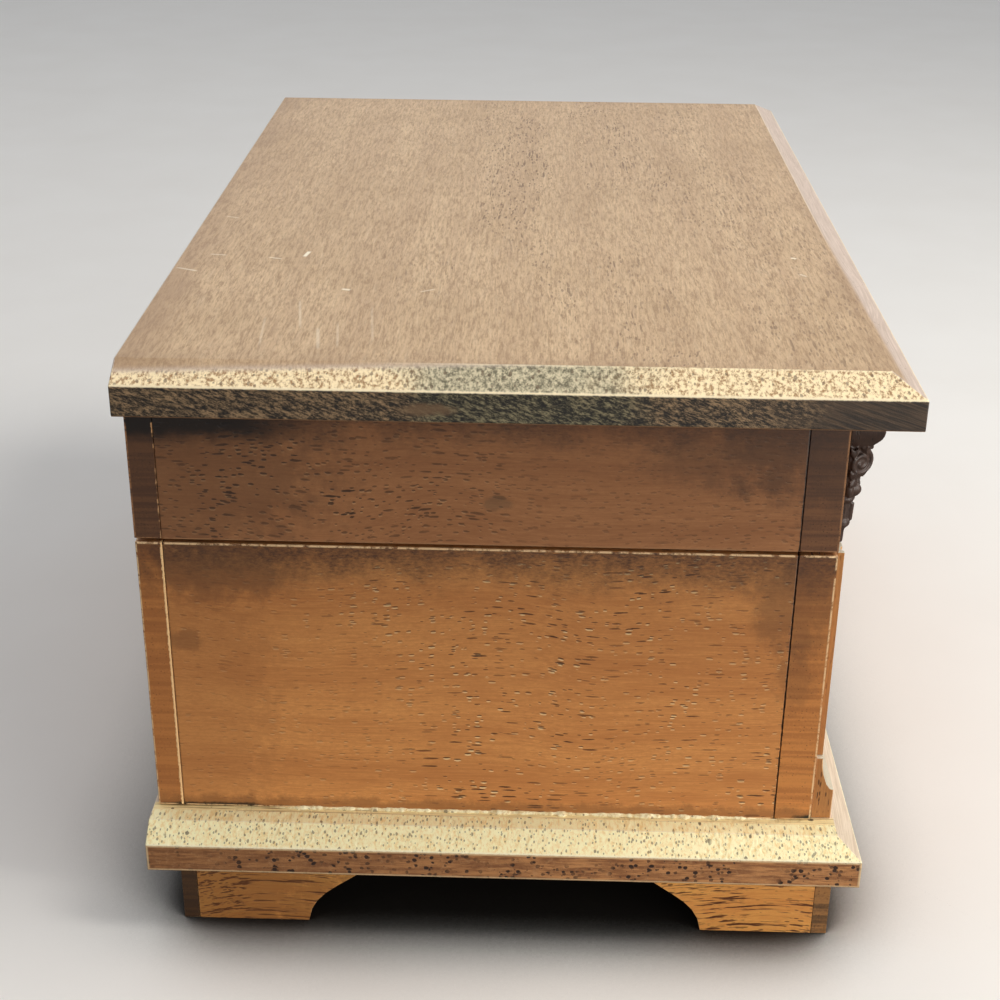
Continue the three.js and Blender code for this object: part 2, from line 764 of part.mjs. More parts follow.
function makePartitions() {
  const side_low = [partition_x, ring_front, inside_floor];
  place(box, "bay_side_partition", slab(side_low, [bay_left, inside_back, bay_top]), case_wood);
  const front_low = [bay_left + glue_line, bay_front - partition, inside_floor];
  place(box, "bay_front_partition", slab(front_low, [inside_right, bay_front, bay_top]), case_wood);
  const divider_high = [left_section_end, divider_y + partition, inside_floor + ring_divider_height];
  place(box, "ring_divider", slab([lined_left, divider_y, inside_floor], divider_high), case_wood);

  const ledge_top = bay_top - cover_thickness;
  const ledge_low = [inside_right - ledge_width, bay_front + glue_line, ledge_top - ledge_width];
  const ledge = slab(ledge_low, [inside_right, inside_back, ledge_top - glue_line]);
  place(box, "cover_ledge", ledge, case_wood);
  const cover_low = [bay_left + cover_clearance, bay_front + cover_clearance, ledge_top];
  const cover_high = [inside_right - cover_clearance, inner_back - cover_clearance, bay_top];
  place(box, "movement_cover", slab(cover_low, cover_high), clear_sheet);
}

function makePads() {
  const top = inside_floor + floor_pad;
  const right = left_section_end - running_gap;
  const back = lined_back - running_gap;
  const low = [lined_left + running_gap, divider_y + partition + running_gap, inside_floor];
  place(box, "floor_pad_main", slab(low, [right, back, top]), velvet);
  const side_low = [bay_left + running_gap, lined_front + running_gap, inside_floor];
  const side_high = [lined_right - running_gap, bay_front - partition - running_gap, top];
  place(box, "floor_pad_side", slab(side_low, side_high), velvet);

  const roll_length = right - lined_left - running_gap;
  const roll_pitch = ring_section / ring_roll_count;
  const roll_x = (lined_left + right) / 2;
  for (let i = 0; i < ring_roll_count; i++) {
    const y = ring_front + roll_pitch * (i + 1 / 2);
    const roll = ringRoll(roll_length, roll_pitch - ring_roll_gap);
    place(box, `ring_roll_${i + 1}`, roll, velvet, roll_x, y, inside_floor);
  }
}

// Mirror under the lid board and the padded surround that holds it
function makeMirror() {
  const top = lid_underside - glue_line;
  const y = (inner_front + inner_back) / 2;
  const half_x = inner_end - mirror_end_border;
  const half_y = (inner_back - inner_front) / 2 - mirror_side_border;
  const glass = slab([-half_x, -half_y, top - mirror_thickness], [half_x, half_y, top]);
  place(box, "mirror", glass, silver_glass, 0, y);
  const frame_x = inner_end - running_gap;
  const frame_y = (inner_back - inner_front) / 2 - running_gap;
  const ring = (x_half, y_half, z) => [
    [-x_half, -y_half, z], [x_half, -y_half, z],
    [x_half, y_half, z], [-x_half, y_half, z],
  ];
  const low = top - surround_thickness;
  const body = loft([
    ring(frame_x - surround_bevel, frame_y - surround_bevel, low),
    ring(frame_x, frame_y, low + surround_bevel),
    ring(frame_x, frame_y, top)]);
  const hole_x = half_x + mirror_margin;
  const hole_y = half_y + mirror_margin;
  const flare = surround_bevel + cut_overrun;
  const hole = loft([
    ring(hole_x + flare, hole_y + flare, low - cut_overrun),
    ring(hole_x, hole_y, low + surround_bevel),
    ring(hole_x, hole_y, top + cut_overrun)]);
  place(box, "mirror_surround", cut(body, hole), velvet, 0, y);
}

function makeBedplate() {
  const plate = slab(
    [-bedplate_left, -bedplate_front, -bedplate_thickness],
    [bedplate_right, bedplate_back, 0]);
  const boss_bottom = -bedplate_thickness - bedplate_boss;
  const inset = bedplate_boss_radius;
  const corners = [
    [-bedplate_left + inset, -bedplate_front + inset],
    [bedplate_right - inset, -bedplate_front + inset],
    [bedplate_right - inset, bedplate_back - inset],
    [-bedplate_left + inset, bedplate_back - inset],
  ];
  const bosses = corners.map(([x, y]) => rod(inset, boss_bottom, 0, screw_sides).translate(x, y, 0));
  const seat = slab([cylinder_start, comb_back_y, -glue_line], [cylinder_end, comb_root_y, comb_seat_top]);
  const hole = rod(bedplate_hole_radius, -movement_z, movement_z, housing_sides);
  const threads = combScrewPlaces().map(([x, y]) => {
    const bottom = comb_seat_top - comb_screw_length;
    const thread = rod(comb_screw_radius + running_gap, bottom, comb_seat_top + cut_overrun, screw_sides);
    return thread.translate(x, y, 0);
  });
  place(movement, "bedplate", cut(join(plate, ...bosses, seat), hole, ...threads), brass);
}

// Main wheel: arbor, hub and a crown of teeth that face up to the cylinder's pinion
function makeMainWheel() {
  const disc_bottom = main_disc_top - main_disc;
  const key_end = base_offset - key_below_base - key_bore_depth;
  const arbor_top = housing_top - housing_wall - running_gap;
  const body = turned([
    [0, key_end], [arbor_radius, key_end],
    [arbor_radius, running_gap], [main_hub_radius, running_gap],
    [main_hub_radius, disc_bottom], [main_outer, disc_bottom],
    [main_outer, main_disc_top], [main_hub_radius, main_disc_top],
    [main_hub_radius, main_tooth_top], [arbor_radius, main_tooth_top],
    [arbor_radius, arbor_top], [0, arbor_top],
  ], main_wheel_sides);
  const half = (pitch * main_tooth_share) / 2;
  const foot = half / tooth_tip_share * tooth_root_share / 2;
  const root = main_disc_top - glue_line;
  const outline = polygon([[-foot, root], [foot, root], [half, main_tooth_top], [-half, main_tooth_top]]);
  const tooth = extrude(outline, main_outer - main_inner).applyMatrix4(along_x).translate(main_inner, 0, 0);
  const teeth = [];
  for (let i = 0; i < main_teeth; i++) {
    teeth.push(tooth.clone().rotateZ((Math.PI * 2 * (i + 1 / 2)) / main_teeth));
  }
  place(movement, "main_wheel", join(body, ...teeth), brass);
}

function makeKey() {
  const top = base_offset - key_below_base;
  const bottom = top - key_hub_length;
  const lobe_z = bottom;
  const half = key_thickness / 2;
  const hub = rod(key_hub_radius, bottom, top, screw_sides);
  const lobes = [-1, 1].map((side) => {
    const disc = rod(key_lobe_radius, -half, half, barrel_sides).applyMatrix4(along_y);
    return disc.translate((side * key_lobe_spread) / 2, 0, lobe_z);
  });
  const web = slab(
    [-key_lobe_spread / 2, -half, lobe_z - key_lobe_radius / 2],
    [key_lobe_spread / 2, half, lobe_z + key_lobe_radius / 2]);
  const bore_end = top - key_bore_depth - glue_line;
  const bore = rod(arbor_radius + glue_line, bore_end, top + cut_overrun, screw_sides);
  place(movement, "winding_key", cut(join(hub, ...lobes, web), bore), brass);
}

// Spring housing: a cup over the main wheel on three legs, with the cylinder's near bearing in its wall
function makeSpringHousing() {
  const inner = housing_radius - housing_wall;
  const ceiling = housing_top - housing_wall;
  const cup = turned([
    [inner, housing_bottom], [housing_radius, housing_bottom], [housing_radius, ceiling],
    [inner, housing_top], [0, housing_top], [0, ceiling],
    [inner, ceiling], [inner, housing_bottom],
  ], housing_sides);
  const legs = [];
  for (const degrees of [90, 180, 270]) {
    const ear = slab(
      [inner + glue_line, -ear_width / 2, housing_bottom],
      [ear_end, ear_width / 2, housing_bottom + ear_thickness]);
    const leg = slab(
      [ear_end - ear_leg, -ear_width / 2, glue_line],
      [ear_end, ear_width / 2, housing_bottom + glue_line]);
    const angle = THREE.MathUtils.degToRad(degrees);
    legs.push(ear.rotateZ(angle), leg.rotateZ(angle));
  }
  const bearing = rod(journal_radius + journal_clearance, 0, housing_radius + cut_overrun, screw_sides);
  bearing.applyMatrix4(along_x).translate(inner - cut_overrun, 0, cylinder_axis_height);
  place(movement, "spring_housing", cut(join(cup, ...legs), bearing), steel);
}

// Mainspring: a flat strip wound from the arbor out to the housing's wall
function makeMainspring() {
  const outer = housing_radius - housing_wall - running_gap - spring_strip;
  const steps = spring_turns * spring_turn_steps;
  const rings = [];
  for (let i = 0; i <= steps; i++) {
    const share = i / steps;
    const radius = spring_inner_radius + (outer - spring_inner_radius) * share;
    const angle = (Math.PI * 2 * i) / spring_turn_steps;
    const [c, s] = [Math.cos(angle), Math.sin(angle)];
    const [near, far] = [radius, radius + spring_strip];
    rings.push([
      [near * c, near * s, spring_bottom], [near * c, near * s, spring_top],
      [far * c, far * s, spring_top], [far * c, far * s, spring_bottom],
    ]);
  }
  place(movement, "mainspring", loft(rings), steel);
}

// The tune: a pin stands where this pattern of notes and beats falls
function pinStands(note, beat) {
  const turn = (note * beat) % tune_turn;
  const falls = (note * tune_note_step + beat * tune_beat_step + turn) % tune_spacing === 0;
  return falls && (note + beat) % tune_swing === 0;
}

function makeCylinder() {
  const sleeve = rod(cylinder_radius, cylinder_start, cylinder_end, cylinder_sides);
  const bore = rod(cylinder_arbor_radius + glue_line, 0, cylinder_end + cut_overrun, screw_sides);
  const note_pitch = cylinder_length / note_count;
  const half = pin_width / 2;
  const pins = [];
  for (let note = 0; note < note_count; note++) {
    for (let beat = 0; beat < note_beats; beat++) {
      if (!pinStands(note, beat)) continue;
      const z = cylinder_start + note_pitch * (note + 1 / 2);
      const pin = slab(
        [cylinder_radius - pin_height, -half, z - half],
        [cylinder_radius + pin_height, half, z + half]);
      pins.push(pin.rotateZ((Math.PI * 2 * beat) / note_beats));
    }
  }
  const body = cut(join(sleeve, ...pins), bore).applyMatrix4(along_x);
  place(movement, "music_cylinder", body, brass, 0, 0, cylinder_axis_height);
}

// The cylinder's arbor with its pinion and the gear that drives the governor
function makeCylinderArbor() {
  const near_end = housing_radius - housing_wall + glue_line;
  const shoulder = housing_radius + running_gap;
  const far_end = far_plate_end + running_gap;
  const arbor = turned([
    [0, near_end], [journal_radius, near_end],
    [journal_radius, shoulder], [cylinder_arbor_radius, shoulder],
    [cylinder_arbor_radius, far_plate_start], [journal_radius, far_plate_start],
    [journal_radius, far_end], [0, far_end],
  ], screw_sides);
  const pinion = gear(pinion_teeth, gear_module, main_inner, main_outer);
  const drive_gear_end = drive_gear_start + drive_gear_face;
  const wheel = gear(drive_gear_teeth, drive_gear_module, drive_gear_start, drive_gear_end);
  const body = join(arbor, pinion, wheel).applyMatrix4(along_x);
  place(movement, "cylinder_arbor", body, steel, 0, 0, cylinder_axis_height);
}

function combScrewPlaces() {
  const y = comb_root_y - comb_plate_depth / 2;
  const quarter = cylinder_length / 4;
  return [[cylinder_start + quarter, y], [cylinder_end - quarter, y]];
}

// Steel comb: one tuned tooth for each note, longer towards the bass, on a brass base
function makeComb() {
  const note_pitch = cylinder_length / note_count;
  const points = [[cylinder_start, comb_back_y], [cylinder_end, comb_back_y]];
  for (let note = note_count - 1; note >= 0; note--) {
    const left = cylinder_start + note_pitch * note + comb_slot / 2;
    const right = left + note_pitch - comb_slot;
    const root = comb_root_y - comb_bass_extra * (note / note_count);
    points.push([right, root], [right, comb_tip_y], [left, comb_tip_y], [left, root]);
  }
  const plate = extrude(polygon(points), comb_thickness).translate(0, 0, comb_bottom);
  const base_top = comb_bottom + glue_line;
  const base = slab(
    [cylinder_start, comb_back_y, comb_seat_top + glue_line],
    [cylinder_end, comb_root_y - comb_bass_extra, base_top]);
  const holes = combScrewPlaces().map(([x, y]) =>
    rod(comb_screw_radius + glue_line, 0, movement_z, screw_sides).translate(x, y, 0));
  place(movement, "comb", cut(join(plate, base), ...holes), steel);
}

function makeCombScrews() {
  const seat = comb_bottom + comb_thickness + glue_line;
  const head_top = seat + comb_screw_head;
  const tip = comb_seat_top - comb_screw_length + running_gap;
  for (const [i, [x, y]] of combScrewPlaces().entries()) {
    const body = turned([
      [0, tip], [comb_screw_radius, tip],
      [comb_screw_radius, seat], [comb_screw_head_radius, seat],
      [comb_screw_head_radius, head_top - comb_screw_slot],
      [comb_screw_head_radius - comb_screw_slot, head_top], [0, head_top],
    ], screw_sides);
    const slot = slab(
      [-comb_screw_head_radius - cut_overrun, -comb_screw_slot / 2, head_top - comb_screw_slot],
      [comb_screw_head_radius + cut_overrun, comb_screw_slot / 2, head_top + cut_overrun]);
    place(movement, `comb_screw_${i + 1}`, cut(body, slot), steel, x, y);
  }
}

// Governor wheel: its pinion is driven by the cylinder's gear, its worm wheel drives the fan
function makeGovernorWheel() {
  const arbor = rod(journal_radius, near_plate_start, far_plate_end, screw_sides);
  const mesh_angle = Math.atan2(-governor_axis_drop, governor_axis_y);
  const pinion_ends = [governor_pinion_start, governor_pinion_end];
  const pinion = gear(governor_pinion_teeth, drive_gear_module, ...pinion_ends);
  // half a tooth on from the driving gear's own phase along the line between the two axes
  const drive_phase = mesh_angle / ((Math.PI * 2) / drive_gear_teeth);
  const half_tooth = Math.PI / governor_pinion_teeth;
  pinion.rotateZ(mesh_angle + Math.PI + half_tooth + drive_phase * ((Math.PI * 2) / governor_pinion_teeth));
  const wheel = gear(worm_wheel_teeth, gear_module, worm_wheel_start, worm_wheel_end);
  const body = join(arbor, pinion, wheel).applyMatrix4(along_x);
  place(movement, "governor_wheel", body, brass, 0, governor_axis_y, governor_axis_z);
}

// Worm: a shaft whose radius swells along a two-start thread
function worm() {
  const lead = worm_starts * pitch;
  const steps = Math.round(((worm_top - worm_bottom) / lead) * worm_turn_steps);
  const rings = [];
  for (let i = 0; i <= steps; i++) {
    const z = worm_bottom + ((worm_top - worm_bottom) * i) / steps;
    const ring = [];
    for (let j = 0; j < worm_sides; j++) {
      const angle = (Math.PI * 2 * j) / worm_sides;
      const turn = worm_starts * (angle - (Math.PI * 2 * (z - governor_axis_z)) / lead + Math.PI / 2);
      const swell = Math.max(0, -Math.cos(turn));
      const radius = worm_radius - worm_depth + 2 * worm_depth * swell * (i === 0 || i === steps ? 0 : 1);
      ring.push([radius * Math.cos(angle), radius * Math.sin(angle), z]);
    }
    rings.push(ring);
  }
  return loft(rings);
}

function makeFan() {
  const foot = frame_foot / 2 + glue_line;
  const shaft_body = rod(fan_shaft_radius, foot, arm_top, screw_sides);
  const hub = rod(fan_hub_radius, fan_bottom, fan_bottom + fan_height, screw_sides);
  const half = fan_blade / 2;
  const blade = slab([-fan_radius, -half, fan_bottom], [fan_radius, half, fan_bottom + fan_height]);
  place(movement, "governor_fan", join(shaft_body, worm(), hub, blade), steel, fan_x, fan_y);
}

// Governor frame: one casting with the far cylinder bearing, both wheel bearings and the fan's pivots
function makeGovernorFrame() {
  const hub = journal_radius + frame_bearing_wall;
  const half_arm = frame_arm_width / 2;
  const front = governor_axis_y - half_arm;
  const foot = slab([near_plate_start, front, glue_line], [far_plate_end, post_end, frame_foot]);
  const near_plate = slab(
    [near_plate_start, front, glue_line],
    [near_plate_end, governor_axis_y + half_arm, governor_axis_z + hub]);
  const far_plate = slab(
    [far_plate_start, -hub, glue_line],
    [far_plate_end, governor_axis_y + hub, cylinder_axis_height + 2 * frame_bearing_wall]);
  const post = slab([fan_x - half_arm, post_start, glue_line], [fan_x + half_arm, post_end, arm_top]);
  const arm = slab([fan_x - half_arm, fan_y - half_arm, arm_bottom], [fan_x + half_arm, post_end, arm_top]);
  const wheel_pocket = slab(
    [worm_wheel_start - running_gap, front - running_gap - cut_overrun, 0],
    [far_plate_start, governor_axis_y + worm_wheel_radius + gear_module, frame_foot + cut_overrun]);
  const arbor_bore = rod(journal_radius + journal_clearance, 0, far_plate_end + cut_overrun, screw_sides);
  arbor_bore.applyMatrix4(along_x);
  const fan_bore_radius = fan_shaft_radius + journal_clearance;
  const fan_bore = rod(fan_bore_radius, frame_foot / 2, arm_top + cut_overrun, screw_sides);
  const tools = [
    arbor_bore.clone().translate(0, 0, cylinder_axis_height),
    arbor_bore.translate(0, governor_axis_y, governor_axis_z),
    fan_bore.translate(fan_x, fan_y, 0),
    wheel_pocket,
  ];
  place(movement, "governor_frame", cut(join(foot, near_plate, far_plate, post, arm), ...tools), brass);
}

// Stop wire: it stands in the back board's groove, with its foot beside the fan while the lid is shut
function makeStopWire() {
  const top = rim_bottom - running_gap;
  const foot_z = movement_z + fan_bottom + fan_height / 2;
  const tip_y = movement_y + fan_y;
  const upright = rod(stop_wire_radius, foot_z, top, stop_wire_sides);
  const foot = rod(stop_wire_radius, tip_y - stop_wire_y, 0, stop_wire_sides).applyMatrix4(along_y);
  const knee = bare(new THREE.SphereGeometry(stop_wire_radius, stop_wire_sides, stop_wire_sides / 2));
  const wire = join(upright, foot.translate(0, 0, foot_z), knee.translate(0, 0, foot_z));
  place(box, "stop_wire", wire, steel, stop_wire_x, stop_wire_y);
}

makeBaseBoard();
makeFeet();
makeCase();
makePilasters();
makeLinings();
makePartitions();
makePads();
makeHinges();
makeRim();
makeLidBoard();
makeMirror();
makeBedplate();
makeMainWheel();
makeKey();
makeSpringHousing();
makeMainspring();
makeCylinder();
makeCylinderArbor();
makeComb();
makeCombScrews();
makeGovernorWheel();
makeFan();
makeGovernorFrame();
makeStopWire();

export default box;
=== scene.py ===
import json
import math

import bmesh
import bpy
from mathutils import Matrix, Vector, noise


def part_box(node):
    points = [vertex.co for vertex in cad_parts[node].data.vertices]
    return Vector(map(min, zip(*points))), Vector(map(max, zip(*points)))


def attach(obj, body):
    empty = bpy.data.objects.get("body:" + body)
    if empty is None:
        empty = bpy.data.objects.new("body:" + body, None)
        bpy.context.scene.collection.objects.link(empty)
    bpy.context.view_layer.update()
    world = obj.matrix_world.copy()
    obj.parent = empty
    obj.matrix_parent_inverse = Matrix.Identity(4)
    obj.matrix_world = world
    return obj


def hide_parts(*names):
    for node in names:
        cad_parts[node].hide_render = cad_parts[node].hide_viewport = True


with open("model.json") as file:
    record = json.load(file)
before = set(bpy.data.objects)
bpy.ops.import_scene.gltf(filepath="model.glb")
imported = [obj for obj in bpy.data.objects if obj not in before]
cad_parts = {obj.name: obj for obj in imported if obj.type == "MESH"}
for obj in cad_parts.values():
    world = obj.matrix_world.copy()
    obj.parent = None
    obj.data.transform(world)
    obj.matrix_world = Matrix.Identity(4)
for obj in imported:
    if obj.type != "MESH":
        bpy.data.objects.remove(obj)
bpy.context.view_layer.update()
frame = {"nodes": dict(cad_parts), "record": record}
nodes = frame["nodes"]
record = frame["record"]
body_of = {node: body for body, members in record["behaviour"]["bodies"].items() for node in members}
slot_of = {row["node"]: row["material_slot"] for row in record["subparts"]}

MM = 0.001
X, Y, Z = range(3)


def size_mm(node):
    """Lowest and highest corner of a node in millimetres."""
    low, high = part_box(node)
    return low / MM, high / MM


# Levels of the box, in millimetres
lid_low, lid_high = size_mm("lid_board")
base_low, base_high = size_mm("base_board")
case_low, case_high = size_mm("case_front")
case_rear = size_mm("case_back")[1][Y]
rim_low, rim_high = size_mm("rim_front")
panel_low, panel_high = size_mm("case_left_end")
case_shell = (case_low, Vector((case_high[X], case_rear, case_high[Z])))
rim_shell = (rim_low, Vector((rim_high[X], case_rear, rim_high[Z])))
lid_bevel_rise, base_bevel_rise = 3.6, 3.5
lid_rounding, edge_rounding, weld_distance = 0.35, 0.25, 0.002
sharp_angle, rounded_angle = math.radians(35), math.radians(30)


# Pale scratches on the lid: start, end, width and strength
lid_scratches = (
    ((-60.9, 78.0), (-63.5, 71.9), 0.45, 0.8), ((-50.6, 71.9), (-51.2, 67.3), 0.4, 0.6),
    ((-52.2, 57.7), (-53.5, 53.9), 0.4, 0.6), ((-51.7, 49.2), (-47.0, 48.4), 0.7, 1.0),
    ((-74.4, 37.8), (-75.0, 35.6), 0.7, 0.8), ((-75.6, 20.3), (-73.3, 16.7), 0.4, 0.5),
    ((-19.0, 73.7), (-20.6, 69.6), 0.4, 0.5), ((-81.0, 46.2), (-101.1, 43.4), 0.4, 0.25),
    ((-98.5, 40.0), (-113.1, 38.2), 0.5, 0.3), ((-92.0, 52.0), (-112.0, 50.4), 0.4, 0.2),
    ((-95.0, 36.2), (-112.0, 34.4), 0.4, 0.2), ((-84.0, 30.0), (-108.0, 27.6), 0.4, 0.15),
    ((-46.2, -66.0), (-46.9, -67.4), 0.7, 0.8), ((-58.2, -66.4), (-60.3, -68.0), 0.5, 0.5),
)


def srgb(red, green, blue):
    """Linear colour of a display colour from 0 to 255."""
    def linear(value):
        share = value / 255
        return share / 12.92 if share <= 0.04045 else ((share + 0.055) / 1.055) ** 2.4
    return (linear(red), linear(green), linear(blue), 1)


class Nodes:
    """A node tree built from short calls: values are numbers, sockets or display colours."""

    def __init__(self, tree):
        self.tree = tree

    def put(self, socket, value):
        if isinstance(value, bpy.types.NodeSocket):
            self.tree.links.new(value, socket)
        else:
            socket.default_value = srgb(*value) if socket.type == "RGBA" else value

    def node(self, kind, *values, **settings):
        made = self.tree.nodes.new(kind)
        for key, value in settings.items():
            setattr(made, key, value)
        for socket, value in zip(made.inputs, values):
            if value is not None:
                self.put(socket, value)
        return made

    def math(self, operation, *values, clamp=False):
        return self.node("ShaderNodeMath", *values, operation=operation, use_clamp=clamp).outputs[0]

    def vector(self, operation, *values, scale=1):
        made = self.node("ShaderNodeVectorMath", *values, operation=operation)
        if operation == "SCALE":
            made.inputs[3].default_value = scale
        return made.outputs["Value" if operation in ("LENGTH", "DOT_PRODUCT") else "Vector"]

    def axis(self, vector, index):
        return self.node("ShaderNodeSeparateXYZ", vector).outputs[index]

    def noise(self, at, scale=1, detail=3, roughness=0.5, distortion=0):
        made = self.node("ShaderNodeTexNoise", at)
        settings = {"Scale": scale, "Detail": detail, "Roughness": roughness, "Distortion": distortion}
        for key, value in settings.items():
            made.inputs[key].default_value = value
        return made.outputs[0]

    def cells(self, at):
        made = self.node("ShaderNodeTexVoronoi", at)
        made.inputs["Scale"].default_value = 1
        return made.outputs["Distance"], made.outputs["Color"]

    def ease(self, value, start, end, low=0, high=1):
        """Smooth step: low up to the start, high from the end on."""
        return self.node("ShaderNodeMapRange", value, start, end, low, high,
                         interpolation_type="SMOOTHSTEP").outputs[0]

    def mix(self, share, first, second):
        made = self.node("ShaderNodeMix", data_type="RGBA", clamp_factor=True)
        for index, value in ((0, share), (6, first), (7, second)):
            self.put(made.inputs[index], value)
        return made.outputs[2]

    def both(self, *values):
        """Product of several masks."""
        result = values[0]
        for value in values[1:]:
            result = self.math("MULTIPLY", result, value)
        return result

    def flip(self, value):
        return self.math("SUBTRACT", 1, value)

    def scaled(self, value, factor, offset):
        return self.math("MULTIPLY_ADD", value, factor, offset)

    def less(self, value, other):
        return self.math("SUBTRACT", value, other)

    def sum(self, value, other):
        return self.math("ADD", value, other)

    def size(self, value):
        return self.math("ABSOLUTE", value)

    def away(self, value, other):
        """Distance between two values."""
        return self.size(self.less(value, other))

    def most(self, value, other):
        return self.math("MAXIMUM", value, other)

    def least(self, value, other):
        return self.math("MINIMUM", value, other)


class Shader(Nodes):
    """A material with places in millimetres, facing directions and the marks that its colours use."""

    def __init__(self, name, **settings):
        self.material = bpy.data.materials.new(name)
        self.material.use_nodes = True
        super().__init__(self.material.node_tree)
        self.surface = self.tree.nodes["Principled BSDF"]
        for socket, value in settings.items():
            self.surface.inputs[socket.replace("_", " ")].default_value = value
        place = self.node("ShaderNodeTexCoord").outputs
        self.at = self.vector("SCALE", place["Object"], scale=1 / MM)
        self.x, self.y, self.z = self.node("ShaderNodeSeparateXYZ", self.at).outputs
        self.facing = self.node("ShaderNodeSeparateXYZ", place["Normal"]).outputs
        self.up = self.facing[Z]

    def stretch(self, *scales, at=None):
        return self.vector("MULTIPLY", at or self.at, scales)

    def drawn(self, scales, detail=3, roughness=0.5, at=None):
        """Noise with its own scale on each axis."""
        return self.noise(self.stretch(*scales, at=at), detail=detail, roughness=roughness)

    def spots(self, scales, size, cover, seed=0, at=None):
        """Soft-edged spots: size is their largest radius in cells, cover the share of cells that have one."""
        at = self.stretch(*scales, at=at)
        if seed:
            at = self.vector("ADD", at, (seed, seed * 1.7, seed * 0.6))
        distance, colour = self.cells(at)
        radius = self.scaled(self.axis(colour, 0), size * 0.6, size * 0.4)
        ragged = self.scaled(self.noise(at, 2.6, detail=2), 0.9, self.math("DIVIDE", distance, radius))
        inside = self.ease(ragged, 1.15, 1.4, 1, 0)
        return self.both(inside, self.math("LESS_THAN", self.axis(colour, 1), cover))

    def blot(self, middle, reach):
        """Soft ragged blot round a middle; its reach is in millimetres on each axis, 0 for endless."""
        ragged = 0.8
        away = self.vector("SUBTRACT", self.at, middle)
        away = self.vector("MULTIPLY", away, [1 / r if r else 0 for r in reach])
        waver = self.noise(self.at, 0.22, detail=6, roughness=0.7)
        far = self.scaled(waver, ragged * 2, self.vector("LENGTH", away))
        return self.ease(far, ragged + 0.4, ragged + 1, 1, 0)

    def stroke(self, start, end, width):
        """Thin straight mark between two places on a level face."""
        start, end = Vector((*start, 0)), Vector((*end, 0))
        ahead = (end - start).normalized()
        away = self.vector("SUBTRACT", self.at, (start + end) / 2)
        far = self.size(self.vector("DOT_PRODUCT", away, ahead))
        off = self.size(self.vector("DOT_PRODUCT", away, Vector((-ahead.y, ahead.x, 0))))
        half = (end - start).length / 2
        return self.both(self.ease(far, half * 0.6, half, 1, 0), self.ease(off, width * 0.3, width, 1, 0))

    def bump(self, height, depth, strength):
        """Height from 0 to 1 over a depth in millimetres."""
        made = self.node("ShaderNodeBump", strength, depth * MM)
        made.inputs["Height"].default_value = 0
        self.put(made.inputs["Height"], height)
        self.put(self.surface.inputs["Normal"], made.outputs[0])

    def colour(self, value):
        self.put(self.surface.inputs["Base Color"], value)

    def rough(self, value):
        self.put(self.surface.inputs["Roughness"], value)


def arris_distance(s, shell):
    """Distance in millimetres from the nearest outer edge of a box: the middle one of its three reaches."""
    low, high = shell
    places = enumerate((s.x, s.y, s.z))
    x, y, z = [s.least(s.less(place, low[i]), s.less(high[i], place)) for i, place in places]
    return s.most(s.least(x, y), s.least(s.most(x, y), z))


def along(grain, lengthwise, across):
    """Three scales, one of them for the grain's axis."""
    scales = [across] * 3
    scales[grain] = lengthwise
    return scales


def rounded_edge(s):
    """1 on the small rounding between two faces of a board, 0 on its flat faces."""
    x, y, z = [s.size(part) for part in s.facing]
    return s.ease(s.most(s.most(x, y), z), 0.995, 0.93)


def pale_arrises(s, colour, levels, tint):
    """Chipped lines along the edges at given heights: height, width and strength of each."""
    chips = s.noise(s.at, 0.9, detail=5, roughness=0.75)
    for level, width, strength in levels:
        off = s.scaled(chips, 0.5, s.away(s.z, level))
        line = s.both(s.ease(off, width * 0.5, width * 0.5 + 0.3, strength, 0), s.ease(s.up, 0.99, 0.96))
        colour = s.mix(line, colour, tint)
    return colour


class Grain:
    """Wood grain along one axis: fibres, bands and pores, as values from 0 to 1."""

    def __init__(self, s, axis):
        self.s, self.axis = s, axis
        wander = s.noise(s.at, 0.02, detail=1)
        drift = s.node("ShaderNodeCombineXYZ", wander, wander, wander).outputs[0]
        self.at = s.vector("ADD", s.at, s.vector("SCALE", drift, scale=9))
        self.fibre = s.drawn(along(axis, 0.07, 2.2), 6, 0.7, at=self.at)
        self.band = s.drawn(along(axis, 0.006, 0.11), at=self.at)
        self.crowd = s.ease(s.noise(s.at, 0.045, detail=2), 0.35, 0.62)
        self.fine = s.drawn(along(axis, 0.6, 1.6), 4, 0.8)

    def dashes(self, length, width, cover, seed, shift=0):
        """Short marks along the grain; shift moves them down, for a painted highlight on the lower lip of an
        open pore.
        """
        at = self.s.vector("ADD", self.at, (0, 0, shift)) if shift else self.at
        return self.s.spots(along(self.axis, 1 / length, 1 / width), 0.42, cover, seed, at)


